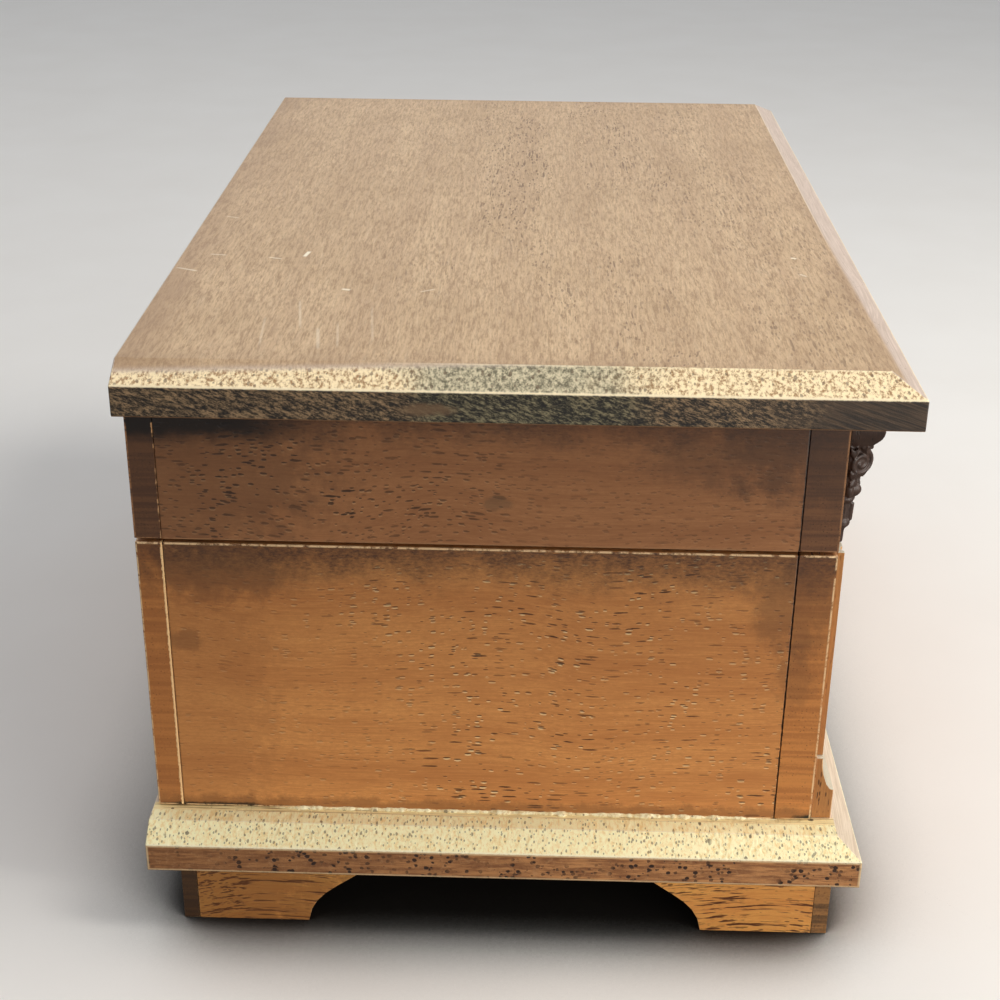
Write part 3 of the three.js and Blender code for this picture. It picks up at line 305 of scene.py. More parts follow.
def wood(name, axis, light, dark, hollow, end_light, end_dark, shell=None, top_darkening=None, stain_and_shade=None,
         worn=None, upper=None, lip=None, pore_cover=0.6, pore=(2.6, 0.62), gather=None, streaks=False,
         joints=(), marks=(), seed=0):
    """Stained open-pored board: long grain on its sides, dusty end grain where a face looks along the grain.

    shell: the box whose edges are rubbed and towards whose top the colour darkens.
    top_darkening: tint, and the two depths from the shell's top over which the darkening fades;
    on the rim it is painted shade under the lid's overhang.
    stain_and_shade: tint of the darkened upper rear corner at the left: dark staining with painted shade
    under the lid.
    worn: tint of rubbed edges. upper: tint of the painted highlight on what looks up.
    lip: tint and share of the painted highlights on the lips under the pores. pore: length and width of the
    pores' cells.
    gather: Y where the pores are few, and Y from which they are many. streaks: long dark lines.
    joints: Y, width, tint and how broken each glue line is.
    marks: middle, reach, tint and share of each blot; some blots are painted shade.
    """
    s = Shader(name, Coat_Weight=0.1, Coat_Roughness=0.3)
    grain = Grain(s, axis)
    tone = s.scaled(grain.band, 0.55, s.both(grain.fibre, 0.55))
    side = s.mix(s.ease(tone, 0.36, 0.72), dark, light)
    side = s.mix(s.both(s.ease(s.noise(s.at, 0.05, detail=5, roughness=0.6), 0.45, 0.72), 0.3), side, dark)
    side = s.mix(s.ease(grain.fine, 0.4, 0.7, 0, 0.4), side, dark)

    grit = s.drawn(along(axis, 0.9, 2.6), 3, 0.8)
    side = s.mix(s.ease(grit, 0.4, 0.7, 0, 0.3), side, dark)
    side = s.mix(s.ease(grit, 0.4, 0.25, 0, 0.3), side, light)

    short = grain.dashes(*pore, pore_cover, seed + 1)
    long = grain.dashes(pore[0] * 2.2, pore[1] * 1.15, pore_cover * 0.6, seed + 5)
    crowd = grain.crowd
    if gather:
        crowd = s.both(s.most(crowd, 0.5), s.ease(s.y, *gather, 0.25, 1))
    pores = s.most(s.both(short, s.scaled(crowd, 0.65, 0.2)), s.both(long, crowd))
    if streaks:
        lengths = s.drawn(along(axis, 0.05, 1.5), 3, 0.6, at=grain.at)
        pores = s.most(pores, s.ease(lengths, 0.54, 0.62))
    if lip:
        tint, share = lip
        # painted highlight on the lower lip of each pore, just below its dark mark
        lit = s.both(grain.dashes(*pore, pore_cover, seed + 1, shift=0.32), share, crowd)
        side = s.mix(s.both(lit, s.ease(s.noise(s.at, 0.3, detail=2), 0.42, 0.56)), side, tint)
    side = s.mix(s.both(pores, 0.95), side, hollow)

    dust = s.drawn(along(axis, 0.15, 1.9), 4, 0.7)
    ring = s.drawn((0.9, 0.03, 0.03) if axis == Z else (0.03, 0.03, 0.9), 4)
    speck = s.spots(along(axis, 0.12, 1 / 0.75), 0.36, 0.4, seed + 3)
    end = s.mix(s.ease(s.scaled(ring, 0.7, s.both(dust, 0.3)), 0.38, 0.62), end_dark, end_light)
    end = s.mix(s.both(speck, 0.5), end, hollow)
    is_end = s.ease(s.size(s.facing[axis]), 0.55, 0.8)
    colour = s.mix(is_end, side, end)

    if upper:
        # painted highlight: faces that look up are paler
        top_highlight = s.both(s.ease(s.up, 0.12, 0.4), s.ease(grain.fine, 0.3, 0.5, 0.6, 1))
        colour = s.mix(top_highlight, colour, upper)
    for middle, reach, tint, share in marks:
        colour = s.mix(s.both(s.blot(middle, reach), share), colour, tint)
    # darker towards the shell's top, with mottling; on the rim this is painted shade under the lid's overhang
    if top_darkening:
        tint, near, far = top_darkening
        drop = s.less(shell[1][Z], s.z)
        patchy = s.scaled(s.noise(s.at, 0.09, detail=6, roughness=0.7), near * 1.5, -near * 0.75)
        cover = s.sum(s.ease(s.sum(drop, patchy), 0, near, 0.6, 0), s.ease(drop, 0, far, 0.26, 0))
        mottle = s.scaled(s.drawn((0.7, 0.7, 1.6), 6, 0.8), 1.8, 0.1)
        cover = s.both(cover, s.ease(s.up, 0.6, 0.95, 1, 0.45))
        colour = s.mix(s.math("MULTIPLY", cover, mottle, clamp=True), colour, tint)
    # darkens the upper rear corner at the left end: dark staining with painted shade under the lid's overhang
    if stain_and_shade:
        drop = s.scaled(s.noise(s.at, 0.2, detail=4), 5, s.less(shell[1][Z], s.z))
        near_end = s.ease(s.x, shell[0][X] + 45, shell[0][X] + 8)
        cover = s.both(s.ease(drop, 9.5, 14, 0.95, 0), s.ease(s.y, 36, 56), near_end)
        colour = s.mix(cover, colour, stain_and_shade)
    for place, width, tint, breaks in joints:
        outermost = s.ease(s.size(s.x), shell[1][X] - 1.2, shell[1][X] - 0.7)
        ragged = s.scaled(s.noise(s.at, 1.1, detail=4), width, s.away(s.y, place))
        whole = s.ease(s.drawn((0.1, 0.1, 0.5)), breaks, breaks + 0.12)
        line = s.both(s.ease(ragged, width * 0.75, width * 1.05, 0.95, 0), outermost, whole)
        colour = s.mix(line, colour, tint)
    if worn:
        rubbed = rounded_edge(s)
        if upper:
            rubbed = s.both(rubbed, s.ease(s.up, 0.3, 0.05, 0, 0.5))
        if shell:
            rubbed = s.most(rubbed, s.ease(arris_distance(s, shell), 0.25, 0.5, 1, 0))
        rubbed = s.both(rubbed, s.ease(s.noise(s.at, 0.5, detail=5, roughness=0.75), 0.38, 0.54), 0.9)
        for place, *_ in joints:
            rubbed = s.both(rubbed, s.ease(s.away(s.y, place), 0.5, 0.9))
        colour = s.mix(rubbed, colour, worn)
    s.colour(colour)
    s.rough(s.scaled(grain.fibre, 0.25, 0.3))
    pits = s.both(pores, s.flip(is_end))
    s.bump(s.less(s.both(grain.fibre, 0.35), pits), 0.12, 0.55)
    return s.material


def lid_wood():
    """Lid board: pale scratched top whose paleness is partly a painted sheen, speckled bevel, dark end grain
    on the edge.
    """
    s = Shader("lid_wood", Coat_Weight=0.08, Coat_Roughness=0.35)
    grain = Grain(s, X)
    across, up = s.y, s.up
    endways = s.size(s.facing[X])

    # the top's pale tone is partly a painted sheen
    tone = s.scaled(grain.band, 0.3, s.both(grain.fibre, 0.7))
    top = s.mix(s.ease(tone, 0.34, 0.7), (190, 158, 122), (222, 192, 152))
    cloud = s.ease(s.noise(s.at, 0.035, detail=5, roughness=0.6), 0.4, 0.7)
    top = s.mix(s.both(cloud, 0.4), top, (182, 151, 112))
    crumb = s.drawn((0.22, 1.5, 1.5), 6, 0.8)
    top = s.mix(s.ease(crumb, 0.42, 0.64, 0, 0.9), top, (156, 124, 88))
    bloom = s.drawn((0.1, 0.9, 0.9), 5, 0.8)
    top = s.mix(s.ease(bloom, 0.5, 0.75, 0, 0.4), top, (232, 208, 172))
    # open pores gather along the middle and the front of the board
    wave = s.scaled(s.noise(s.at, 0.03, detail=3), 46, across)
    forward = s.both(s.ease(wave, 56, 18, 0.12, 1), s.ease(wave, -44, -6, 0.55, 1))
    flecks = s.spots((1 / 3.2, 1 / 0.8, 1 / 0.8), 0.44, 0.7, 2, grain.at)
    streaks = s.spots((1 / 11, 1, 1), 0.38, 0.45, 7, grain.at)
    gathered = s.ease(s.drawn((0.012, 0.06, 0.06)), 0.42, 0.6, 0.15, 1)
    pores = s.both(s.most(flecks, streaks), forward, gathered)
    top = s.mix(s.both(pores, 0.8), top, (112, 84, 54))
    for start, end, width, share in lid_scratches:
        top = s.mix(s.both(s.stroke(start, end, width), share), top, (252, 240, 214))
    margin = s.scaled(s.noise(s.at, 0.07, detail=5), -18, arris_distance(s, (lid_low, lid_high)))
    top = s.mix(s.ease(margin, -11, 5, 0.5, 0), top, (152, 120, 90))

    # the pale end bevel has a greener, darker stretch near the middle
    dust = s.drawn((0.5, 1.2, 1.7), 6, 0.75)
    sway = s.both(s.noise(s.at, 0.11, detail=3), 26)
    swayed = s.sum(across, sway)
    zone = s.both(s.ease(swayed, -24, -2), s.ease(swayed, 40, 26))
    pale_end = s.mix(s.ease(dust, 0.38, 0.56), (160, 120, 74), (255, 234, 190))
    grey_end = s.mix(s.ease(dust, 0.38, 0.62), (98, 92, 68), (214, 202, 168))
    bevel = s.mix(zone, pale_end, grey_end)
    speck = s.spots((0.3, 1 / 1.1, 1 / 0.9), 0.42, 0.5, 3)
    bevel = s.mix(s.both(speck, 0.65), bevel, (92, 68, 42))
    long_bevel = s.mix(s.ease(grain.fibre, 0.35, 0.7), (186, 166, 150), (216, 198, 184))
    dot = s.spots((1 / 1.6, 1 / 0.9, 1 / 0.9), 0.26, 0.35, 11)
    long_bevel = s.mix(s.both(dot, 0.6), long_bevel, (126, 98, 74))
    slope = s.mix(s.ease(endways, 0.2, 0.35), long_bevel, bevel)

    # dark end grain on the vertical edge, with slanted streaks towards the front
    slanting = s.scaled(across, -0.35, s.z)
    chip_at = s.node("ShaderNodeCombineXYZ", s.both(s.x, 0.4),
                     s.both(across, 0.5), s.both(slanting, 1.5)).outputs[0]
    coarse = s.noise(chip_at, 1.25, detail=6, roughness=0.85)
    edge = s.mix(s.ease(coarse, 0.45, 0.61), (16, 12, 10), (164, 136, 102))
    edge = s.mix(s.both(zone, 0.8), edge, s.mix(s.ease(coarse, 0.46, 0.62), (14, 15, 14), (146, 142, 110)))
    slant_at = s.node("ShaderNodeCombineXYZ", 0, slanting, s.both(across, 0.05)).outputs[0]
    streak = s.noise(slant_at, 1.5, detail=4, roughness=0.7)
    brown = s.mix(s.ease(streak, 0.4, 0.62), (36, 27, 21), (88, 69, 51))
    edge = s.mix(s.ease(swayed, -38, -56), edge, brown)
    edge = s.mix(s.both(s.blot((lid_low.x, 15, 133.6), (0, 8, 1.8)), 0.8), edge, (118, 92, 66))
    crack = s.both(s.ease(streak, 0.63, 0.7), s.ease(across, -52, -62))
    edge = s.mix(s.both(crack, 0.6), edge, (176, 150, 116))
    long_edge = s.mix(s.ease(tone, 0.34, 0.74), (96, 66, 44), (148, 106, 70))
    edge = s.mix(s.ease(endways, 0.3, 0.6), long_edge, edge)

    colour = s.mix(s.ease(up, 0.3, 0.55), edge, slope)
    colour = s.mix(s.ease(up, 0.955, 0.99), colour, top)
    colour = s.mix(s.ease(up, -0.3, -0.6), colour, s.mix(grain.fibre, (112, 76, 48), (150, 106, 68)))

    # worn arrises: above and below the bevel, and along the lower edge
    levels = ((lid_high[Z] - lid_bevel_rise, 0.55, 1.0), (lid_high[Z] - 0.1, 0.3, 0.6),
              (lid_low[Z], 0.3, 0.45))
    s.colour(pale_arrises(s, colour, levels, (255, 238, 200)))
    s.rough(s.scaled(grain.fibre, 0.3, 0.34))
    flat = s.less(s.both(grain.fibre, 0.35), pores)
    height = s.node("ShaderNodeMix", s.ease(up, 0.955, 0.99), None, s.both(coarse, 1.4), flat).outputs[0]
    s.bump(height, 0.16, 0.6)
    return s.material


def base_wood():
    """Base board: cream speckled ledge and bevel, pinkish edge with clusters of dark round pores."""
    s = Shader("base_wood", Coat_Weight=0.08, Coat_Roughness=0.35)
    grain = Grain(s, X)
    up = s.up
    endways = s.size(s.facing[X])
    dust = s.drawn((0.4, 1.3, 1.3), 6, 0.75)
    cream = s.mix(s.ease(dust, 0.36, 0.56), (242, 214, 150), (255, 248, 200))
    speck = s.spots((0.5, 1 / 0.7, 1 / 0.7), 0.46, 0.8, 3)
    large = s.spots((0.3, 1 / 1.6, 1 / 1.6), 0.4, 0.3, 8)
    marks = s.most(s.both(speck, 0.8), s.both(large, s.ease(s.noise(s.at, 0.1, detail=2), 0.45, 0.6)))
    speckled = s.mix(s.both(marks, 0.85), cream, (84, 78, 62))
    long_slope = s.mix(s.ease(grain.fibre, 0.35, 0.7), (206, 186, 160), (236, 220, 198))
    slope = s.mix(s.ease(endways, 0.2, 0.4), long_slope, speckled)
    # the flat ledge: dull brown, with fine cream lines along the ends and grime against the case
    lines = s.drawn((2.6, 0.05, 1), 3, 0.7)
    ledge = s.mix(s.ease(lines, 0.36, 0.5), (150, 112, 66), (250, 230, 172))
    grime = s.spots((1 / 2.2, 1 / 3.2, 1), 0.3, 0.4, 12)
    ledge = s.mix(s.both(grime, 0.85), ledge, (48, 36, 26))
    off_end = s.less(s.size(s.x), case_shell[1][X])
    long_ledge = s.mix(s.ease(dust, 0.36, 0.6), (206, 182, 158), (240, 222, 200))
    ledge = s.mix(s.ease(off_end, 1.5, 1.9), ledge, speckled)
    ledge = s.mix(s.ease(off_end, -1.5, -0.5), long_ledge, ledge)
    slope = s.mix(s.ease(up, 0.96, 0.99), slope, ledge)

    rearward = s.ease(s.away(s.y, 44), 25, 13)
    crowd = s.most(s.ease(s.drawn((0.02, 0.07, 0.07), 2), 0.4, 0.5), rearward)
    holes = s.spots((0.2, 1 / 2.1, 1 / 1.9), 0.52, 0.95, 5)
    pin_holes = s.spots((0.3, 1 / 1.2, 1 / 1.1), 0.5, 0.5, 6)
    veins = s.drawn((0.1, 0.14, 1.2), 5, 0.7)
    tan = s.mix(s.ease(veins, 0.36, 0.66), (142, 92, 56), (208, 148, 94))
    # painted shade: the edge darkens towards the rear
    tan = s.mix(s.ease(s.y, -30, 60, 0, 0.45), tan, (116, 76, 46))
    tan = s.mix(s.ease(s.noise(s.at, 0.8, detail=5, roughness=0.8), 0.5, 0.75, 0, 0.5), tan, (206, 160, 114))
    pits = s.most(s.both(holes, crowd), s.both(pin_holes, crowd, 0.7))
    edge = s.mix(s.both(pits, 0.95), tan, (38, 22, 18))
    long_edge = s.mix(s.ease(grain.fibre, 0.35, 0.7), (146, 100, 62), (188, 142, 98))
    edge = s.mix(s.ease(endways, 0.3, 0.6), long_edge, edge)
    colour = s.mix(s.ease(up, 0.25, 0.5), edge, slope)
    beneath = s.ease(up, -0.3, -0.6)
    raw = s.scaled(grain.band, 0.5, s.both(grain.fibre, 0.5))
    colour = s.mix(beneath, colour, s.mix(s.ease(raw, 0.38, 0.62), (142, 98, 60), (192, 146, 98)))

    edge_top = base_high[Z] - base_bevel_rise
    levels = ((edge_top, 0.5, 1.0), (base_low[Z], 0.35, 0.7), (base_high[Z], 0.25, 0.5))
    colour = pale_arrises(s, colour, levels, (255, 246, 208))
    vertical = arris_distance(s, (base_low, Vector((base_high[X], base_high[Y], edge_top))))
    rubbed = s.both(s.ease(vertical, 0.3, 0.7, 0.8, 0), s.ease(s.size(up), 0.3, 0.1))
    colour = s.mix(rubbed, colour, (240, 210, 164))
    s.colour(colour)
    s.rough(s.scaled(grain.fibre, 0.3, 0.37))
    s.bump(s.both(s.less(s.both(dust, 0.9), pits), s.flip(beneath)), 0.18, 0.6)
    return s.material


def glue():
    """Old dried glue: cream, cloudy, with dark dust in it."""
    s = Shader("glue", Coat_Weight=0.2)
    cloud = s.ease(s.noise(s.at, 0.9, detail=5, roughness=0.7), 0.38, 0.6)
    colour = s.mix(cloud, (226, 200, 146), (255, 246, 204))
    s.colour(s.mix(s.both(s.spots((0.6, 0.6, 0.6), 0.4, 0.5, 4), 0.7), colour, (96, 78, 50)))
    s.rough(s.scaled(cloud, -0.2, 0.6))
    s.bump(s.noise(s.at, 2, detail=4), 0.15, 0.6)
    return s.material


def velvet():
    """Short pile: fine nap, brushed patches that catch the light differently, and a soft sheen."""
    s = Shader("velvet", Sheen_Weight=0.55, Sheen_Roughness=0.4, Specular_IOR_Level=0.15)
    s.put(s.surface.inputs["Sheen Tint"], (214, 120, 130))
    nap = s.noise(s.at, 5, detail=4, roughness=0.75)
    brushed = s.noise(s.stretch(0.05, 0.09, 0.07), detail=4, distortion=0.6)
    colour = s.mix(s.ease(brushed, 0.35, 0.68), (92, 16, 28), (128, 25, 41))
    colour = s.mix(s.both(s.ease(nap, 0.5, 0.75), 0.45), colour, (168, 52, 66))
    s.colour(colour)
    s.rough(s.scaled(nap, 0.2, 0.78))
    s.bump(nap, 0.18, 0.8)
    return s.material


def metal(name, light, dark, roughness):
    """Machined metal: fine scratches, tarnish in patches and a little dulling."""
    s = Shader(name, Metallic=1.0)
    lines = s.drawn((0.4, 3.5, 3.5), 4, 0.7)
    tarnish = s.ease(s.noise(s.at, 0.22, detail=5, roughness=0.65), 0.45, 0.75)
    colour = s.mix(s.both(tarnish, 0.55), light, dark)
    s.colour(s.mix(s.both(s.ease(lines, 0.4, 0.7), 0.2), colour, dark))
    s.rough(s.scaled(lines, 0.16, s.scaled(tarnish, 0.14, roughness - 0.08)))
    s.bump(lines, 0.02, 0.4)
    return s.material


def mirror_glass():
    """Silvered glass with faint dust and a little clouding at its edge."""
    s = Shader("mirror_glass", Metallic=1.0)
    dust = s.spots((0.35, 0.35, 0.35), 0.08, 0.4)
    haze = s.noise(s.at, 0.03, detail=4)
    s.colour(s.mix(s.both(dust, 0.2), (232, 236, 236), (190, 190, 186)))
    s.rough(s.scaled(s.ease(haze, 0.5, 0.8), 0.05, s.scaled(dust, 0.12, 0.015)))
    return s.material


def clear_sheet():
    """Clear plastic sheet with hairline scratches."""
    s = Shader("clear_sheet", Transmission_Weight=1.0, IOR=1.49)
    hairs = s.drawn((0.06, 5, 1), 2)
    s.colour(s.mix(s.ease(hairs, 0.5, 0.7), (246, 250, 249), (236, 243, 241)))
    s.rough(s.scaled(s.ease(hairs, 0.62, 0.7), 0.12, 0.03))
    return s.material


def make_materials():
    """A material for every node, and one for the glue."""
    case = dict(light=(236, 166, 96), dark=(198, 128, 70), hollow=(72, 38, 18),
                end_light=(214, 142, 76), end_dark=(186, 118, 62))
    rim = dict(light=(180, 126, 82), dark=(148, 98, 62), hollow=(18, 10, 8),
               end_light=(124, 84, 55), end_dark=(92, 61, 42))
    foot = dict(light=(255, 190, 102), dark=(226, 150, 78), hollow=(84, 42, 20),
                end_light=(176, 126, 76), end_dark=(104, 76, 50))
    carved = dict(light=(76, 54, 44), dark=(46, 32, 28), hollow=(24, 18, 16),
                  end_light=(70, 50, 40), end_dark=(42, 30, 26))
    worn = (252, 216, 166)
    rear_joint, front_joint = panel_high[Y], panel_low[Y]
    case_joints = ((front_joint, 0.5, (44, 24, 14), 0.3), (rear_joint + 0.3, 0.7, (255, 214, 156), 0.25))
    rim_joints = ((front_joint, 0.5, (34, 20, 14), 0.25), (rear_joint + 0.2, 0.45, (208, 162, 116), 0.5))
    shade_tint = (72, 50, 38)
    end = case_low[X]
    # painted shade: the dark brown blots along the end's front and rear edges, and the broad one towards its
    # rear; the endless band darkens the case along its foot
    case_marks = (((end, 69.5, 72.3), (12, 5, 4), shade_tint, 0.4), ((end, -62, 86), (16, 12, 20), shade_tint, 0.42),
                  ((end, 62, 90), (30, 22, 10), shade_tint, 0.5), ((end, -64, 66), (12, 6, 10), shade_tint, 0.3),
                  ((end, 70, 50), (60, 26, 60), (150, 92, 52), 0.3),
                  ((0, 0, 28), (0, 0, 4), (124, 80, 46), 0.6),
                  # painted shadow: near-black lines in the gaps at the foot of the end panel
                  ((end, 66, 28.2), (6, 20, 1.3), (24, 16, 12), 0.95),
                  ((end, -71, 28.4), (8, 6, 1.6), (14, 10, 8), 1.0))
    # painted shade: the feet darken towards the rear, the rear foot boards most
    foot_marks = (((end, 74, 8), (80, 66, 60), (112, 68, 36), 0.55),)
    foot_shade_deep = (*foot_marks, ((end, 80, 8), (30, 36, 60), (40, 32, 25), 0.75))
    # painted shade: the dark brown blots high on the rim's end, under the lid
    rim_marks = (((end, 1, 107.3), (6, 4.5, 2.2), (84, 74, 56), 0.4),
                 ((end, -46, 119), (20, 24, 10), shade_tint, 0.35), ((end, 70, 112), (50, 44, 26), shade_tint, 0.4),
                 ((end, -68, 122), (16, 30, 20), shade_tint, 0.5))
    made = {"lid_board": lid_wood(), "base_board": base_wood(), "glue": glue()}
    for grain, parts in ((X, ("front", "back")), (Y, ("left_end", "right_end"))):
        letter = "xyz"[grain]
        case_material = wood(
            f"case_wood_{letter}", grain, shell=case_shell, top_darkening=((84, 56, 40), 13, 50), worn=worn,
            lip=((255, 224, 168), 0.95), pore_cover=0.5, gather=(52, 8), joints=case_joints,
            marks=case_marks, seed=10 * grain, **case)
        # on the rim, the darkening towards the top is painted shade under the lid's overhang; the upper rear
        # corner is dark staining with painted shade
        rim_material = wood(
            f"rim_wood_{letter}", grain, shell=rim_shell, top_darkening=((58, 42, 36), 14, 34), stain_and_shade=(20, 16, 16),
            worn=(168, 122, 84), lip=((204, 158, 112), 0.65), pore_cover=0.95, pore=(2.2, 0.85),
            gather=(-20, 40), joints=rim_joints, marks=rim_marks, seed=10 * grain + 4, **rim)
        for part in parts:
            made[f"case_{part}"] = case_material
            made[f"rim_{part}"] = rim_material
    foot_x = wood("foot_wood_x", X, worn=worn, streaks=True, marks=foot_shade_deep, **foot)
    foot_y = wood("foot_wood_y", Y, worn=worn, streaks=True, marks=foot_marks, **foot)
    carving = wood("carved_wood", Z, **carved)
    pilaster = dict(case, light=(212, 150, 88), dark=(170, 114, 64))
    upright = wood("case_wood_z", Z, worn=worn, upper=(206, 198, 176), **pilaster)
    inside_x = wood("partition_wood_x", X, **case)
    inside_y = wood("partition_wood_y", Y, **case)
    by_slot = {"velvet": velvet(), "brass": metal("brass", (226, 190, 112), (150, 112, 58), 0.28),
               "steel": metal("steel", (196, 198, 200), (118, 116, 112), 0.3),
               "mirror": mirror_glass(), "clear_sheet": clear_sheet()}
    for node in nodes:
        if node.startswith("foot_"):
            made[node] = foot_x if node.startswith(("foot_front", "foot_back")) else foot_y
        elif node.startswith("capital"):
            made[node] = carving
        elif node.startswith(("shaft", "plinth")):
            made[node] = upright
        elif node in ("bay_side_partition", "cover_ledge"):
            made[node] = inside_y
        elif node in ("bay_front_partition", "ring_divider"):
            made[node] = inside_x
    for node, slot in slot_of.items():
        made.setdefault(node, by_slot.get(slot, upright))
    return made


materials = make_materials()


def smooth_group():
    """Joins the loose corners, drops the stored normals and shades smooth except across sharp edges."""
    group = bpy.data.node_groups.new("smooth_by_angle", "GeometryNodeTree")
    for way in ("INPUT", "OUTPUT"):
        group.interface.new_socket("Geometry", in_out=way, socket_type="NodeSocketGeometry")
    s = Nodes(group)
    angle = s.node("GeometryNodeInputMeshEdgeAngle").outputs["Unsigned Angle"]
    flat = s.node("FunctionNodeCompare", angle, sharp_angle, operation="LESS_THAN").outputs[0]
    solid = s.node("NodeGroupInput").outputs[0]
    solid = s.node("GeometryNodeMergeByDistance", solid, None, weld_distance * MM).outputs[0]
    solid = s.node("GeometryNodeRemoveAttribute", solid, "custom_normal").outputs[0]
    solid = s.node("GeometryNodeSetShadeSmooth", solid).outputs[0]
    solid = s.node("GeometryNodeSetShadeSmooth", solid, None, flat, domain="EDGE").outputs[0]
    s.node("NodeGroupOutput", solid)
    return group


def dress_nodes():
    """Every carried-over node gets its material, softened edges and smooth shading."""
    smoothing = smooth_group()
    for name, piece in nodes.items():
        piece.data.materials.clear()
        piece.data.materials.append(materials[name])
        clean = piece.modifiers.new("clean", "NODES")
        clean.node_group = smoothing
        if slot_of[name] not in ("brass", "steel", "carved_wood"):
            rounding = piece.modifiers.new("edges", "BEVEL")
            rounding.width = (lid_rounding if name == "lid_board" else edge_rounding) * MM
            rounding.segments = 3
            rounding.limit_method = "ANGLE"
            rounding.angle_limit = rounded_angle
            level = piece.modifiers.new("level", "WEIGHTED_NORMAL")
            level.keep_sharp = True


dress_nodes()


def finished(name, mesh, material, body, stands_for=()):
    """A new piece from a bmesh in millimetres: smooth, coloured, riding on its body."""
    bmesh.ops.recalc_face_normals(mesh, faces=mesh.faces)
    data = bpy.data.meshes.new(name)
    mesh.to_mesh(data)
    mesh.free()
    data.transform(Matrix.Scale(MM, 4))
    data.shade_smooth()
    data.materials.append(material)
    piece = bpy.data.objects.new(name, data)
    bpy.context.scene.collection.objects.link(piece)
    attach(piece, body)
    if stands_for:
        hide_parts(*stands_for)
    return piece


def add_shell(mesh, rings, endless=False):
    """A closed surface through rings of equal point counts: capped, or led back to its first ring."""
    rows = [[mesh.verts.new(point) for point in ring] for ring in rings]
    if endless:
        rows.append(rows[0])
    count = len(rows[0])
    for row, after in zip(rows, rows[1:]):
        for i in range(count):
            j = (i + 1) % count
            mesh.faces.new((row[i], row[j], after[j], after[i]))
    if not endless:
        mesh.faces.new(rows[0])
        mesh.faces.new(rows[-1][::-1])


def shell(rings, endless=False):
    """The same surface as a mesh of its own."""
    mesh = bmesh.new()
    add_shell(mesh, rings, endless)
    return mesh


def soft_box(low, high, rounding, lift):
    """A box with round edges; lift moves each point of its surface."""
    step = 2.2
    mesh = bmesh.new()
    counts = [max(2, round((high[i] - low[i]) / step)) for i in range(3)]
    inner_low = low + Vector((rounding,) * 3)
    inner_high = high - Vector((rounding,) * 3)
    known = {}

    def corner(i, j, k):
        key = (i, j, k)
        if key not in known:
            point = Vector(low[a] + (high[a] - low[a]) * v / counts[a] for a, v in enumerate(key))
            core = Vector(min(max(point[a], inner_low[a]), inner_high[a]) for a in range(3))
            off = point - core
            if off.length > 0:
                point = core + off.normalized() * rounding
            known[key] = mesh.verts.new(lift(point))
        return known[key]

    for a in range(3):
        b, c = (a + 1) % 3, (a + 2) % 3
        for side in (0, counts[a]):
            for i in range(counts[b]):
                for j in range(counts[c]):
                    quad = []
                    for di, dj in ((0, 0), (1, 0), (1, 1), (0, 1)):
                        key = [0, 0, 0]
                        key[a], key[b], key[c] = side, i + di, j + dj
                        quad.append(corner(*key))
                    mesh.faces.new(quad)
    return mesh


def crowned(low, high, axis, toward, crown):
    """Lift for a padded panel: it swells along one axis, drawn in at its edges, with a slight ripple."""
    others = [a for a in range(3) if a != axis]
    ripple = crown * 0.35

    def lift(point):
        swell = 1
        for a in others:
            share = 2 * (point[a] - low[a]) / (high[a] - low[a]) - 1
            swell *= 1 - abs(share) ** 6
        front = (point[axis] - low[axis]) / (high[axis] - low[axis])
        if toward < 0:
            front = 1 - front
        wave = noise.noise(point * 0.09) * ripple
        moved = point.copy()
        moved[axis] += toward * max(front, 0) * swell * (crown + wave)
        return moved
    return lift


def make_padding():
    """Velvet over card and wadding: wall linings and floor pads."""
    cloth = materials["lining_front"]
    panels = (
        ("lining_front", Y, 1, 0.45), ("lining_back", Y, -1, 0.45), ("lining_left", X, 1, 0.45),
        ("lining_right", X, -1, 0.45), ("floor_pad_main", Z, 1, 1.3), ("floor_pad_side", Z, 1, 1.3))
    for node, axis, toward, crown in panels:
        low, high = size_mm(node)
        rounding = 0.5 if crown < 1 else 1.0
        mesh = soft_box(low, high, rounding, crowned(low, high, axis, toward, crown))
        piece = finished(f"{node}_cloth", mesh, cloth, body_of[node], [node])


def make_ring_rolls():
    """Foam rolls in velvet, gathered at their ends."""
    cloth = materials["ring_roll_1"]
    stations, sides, gathers = 60, 56, 11
    end_length = 5.5
    for index in (1, 2, 3):
        low, high = size_mm(f"ring_roll_{index}")
        middle = (low + high) / 2
        half = (high - low) / 2
        rings = []
        for i in range(stations + 1):
            share = i / stations
            off_end = min(share, 1 - share) * 2 * half[X]
            tuck = min(1, off_end / end_length)
            size = math.sqrt(1 - (1 - tuck) ** 2.4) * 0.86 + 0.14
            ring = []
            for j in range(sides):
                angle = math.tau * j / sides
                pleat = 1 - 0.05 * (1 - tuck) * (1 + math.cos(gathers * angle + index))
                spot = Vector((share * 40, math.cos(angle) * 2, math.sin(angle) * 2 + index * 9))
                puff = 1 + 0.012 * noise.noise(spot)
                across = math.copysign(abs(math.cos(angle)) ** 0.86, math.cos(angle))
                rise = math.sin(angle)
                rise = math.copysign(abs(rise) ** (0.9 if rise > 0 else 0.62), rise)
                scale = size * pleat * puff * 0.985
                ring.append((low[X] + 2 * half[X] * share, middle[Y] + half[Y] * across * scale,
                             middle[Z] + half[Z] * rise * scale))
            rings.append(ring)
        node = f"ring_roll_{index}"
        piece = finished(f"{node}_cloth", shell(rings), cloth, body_of[node], [node])


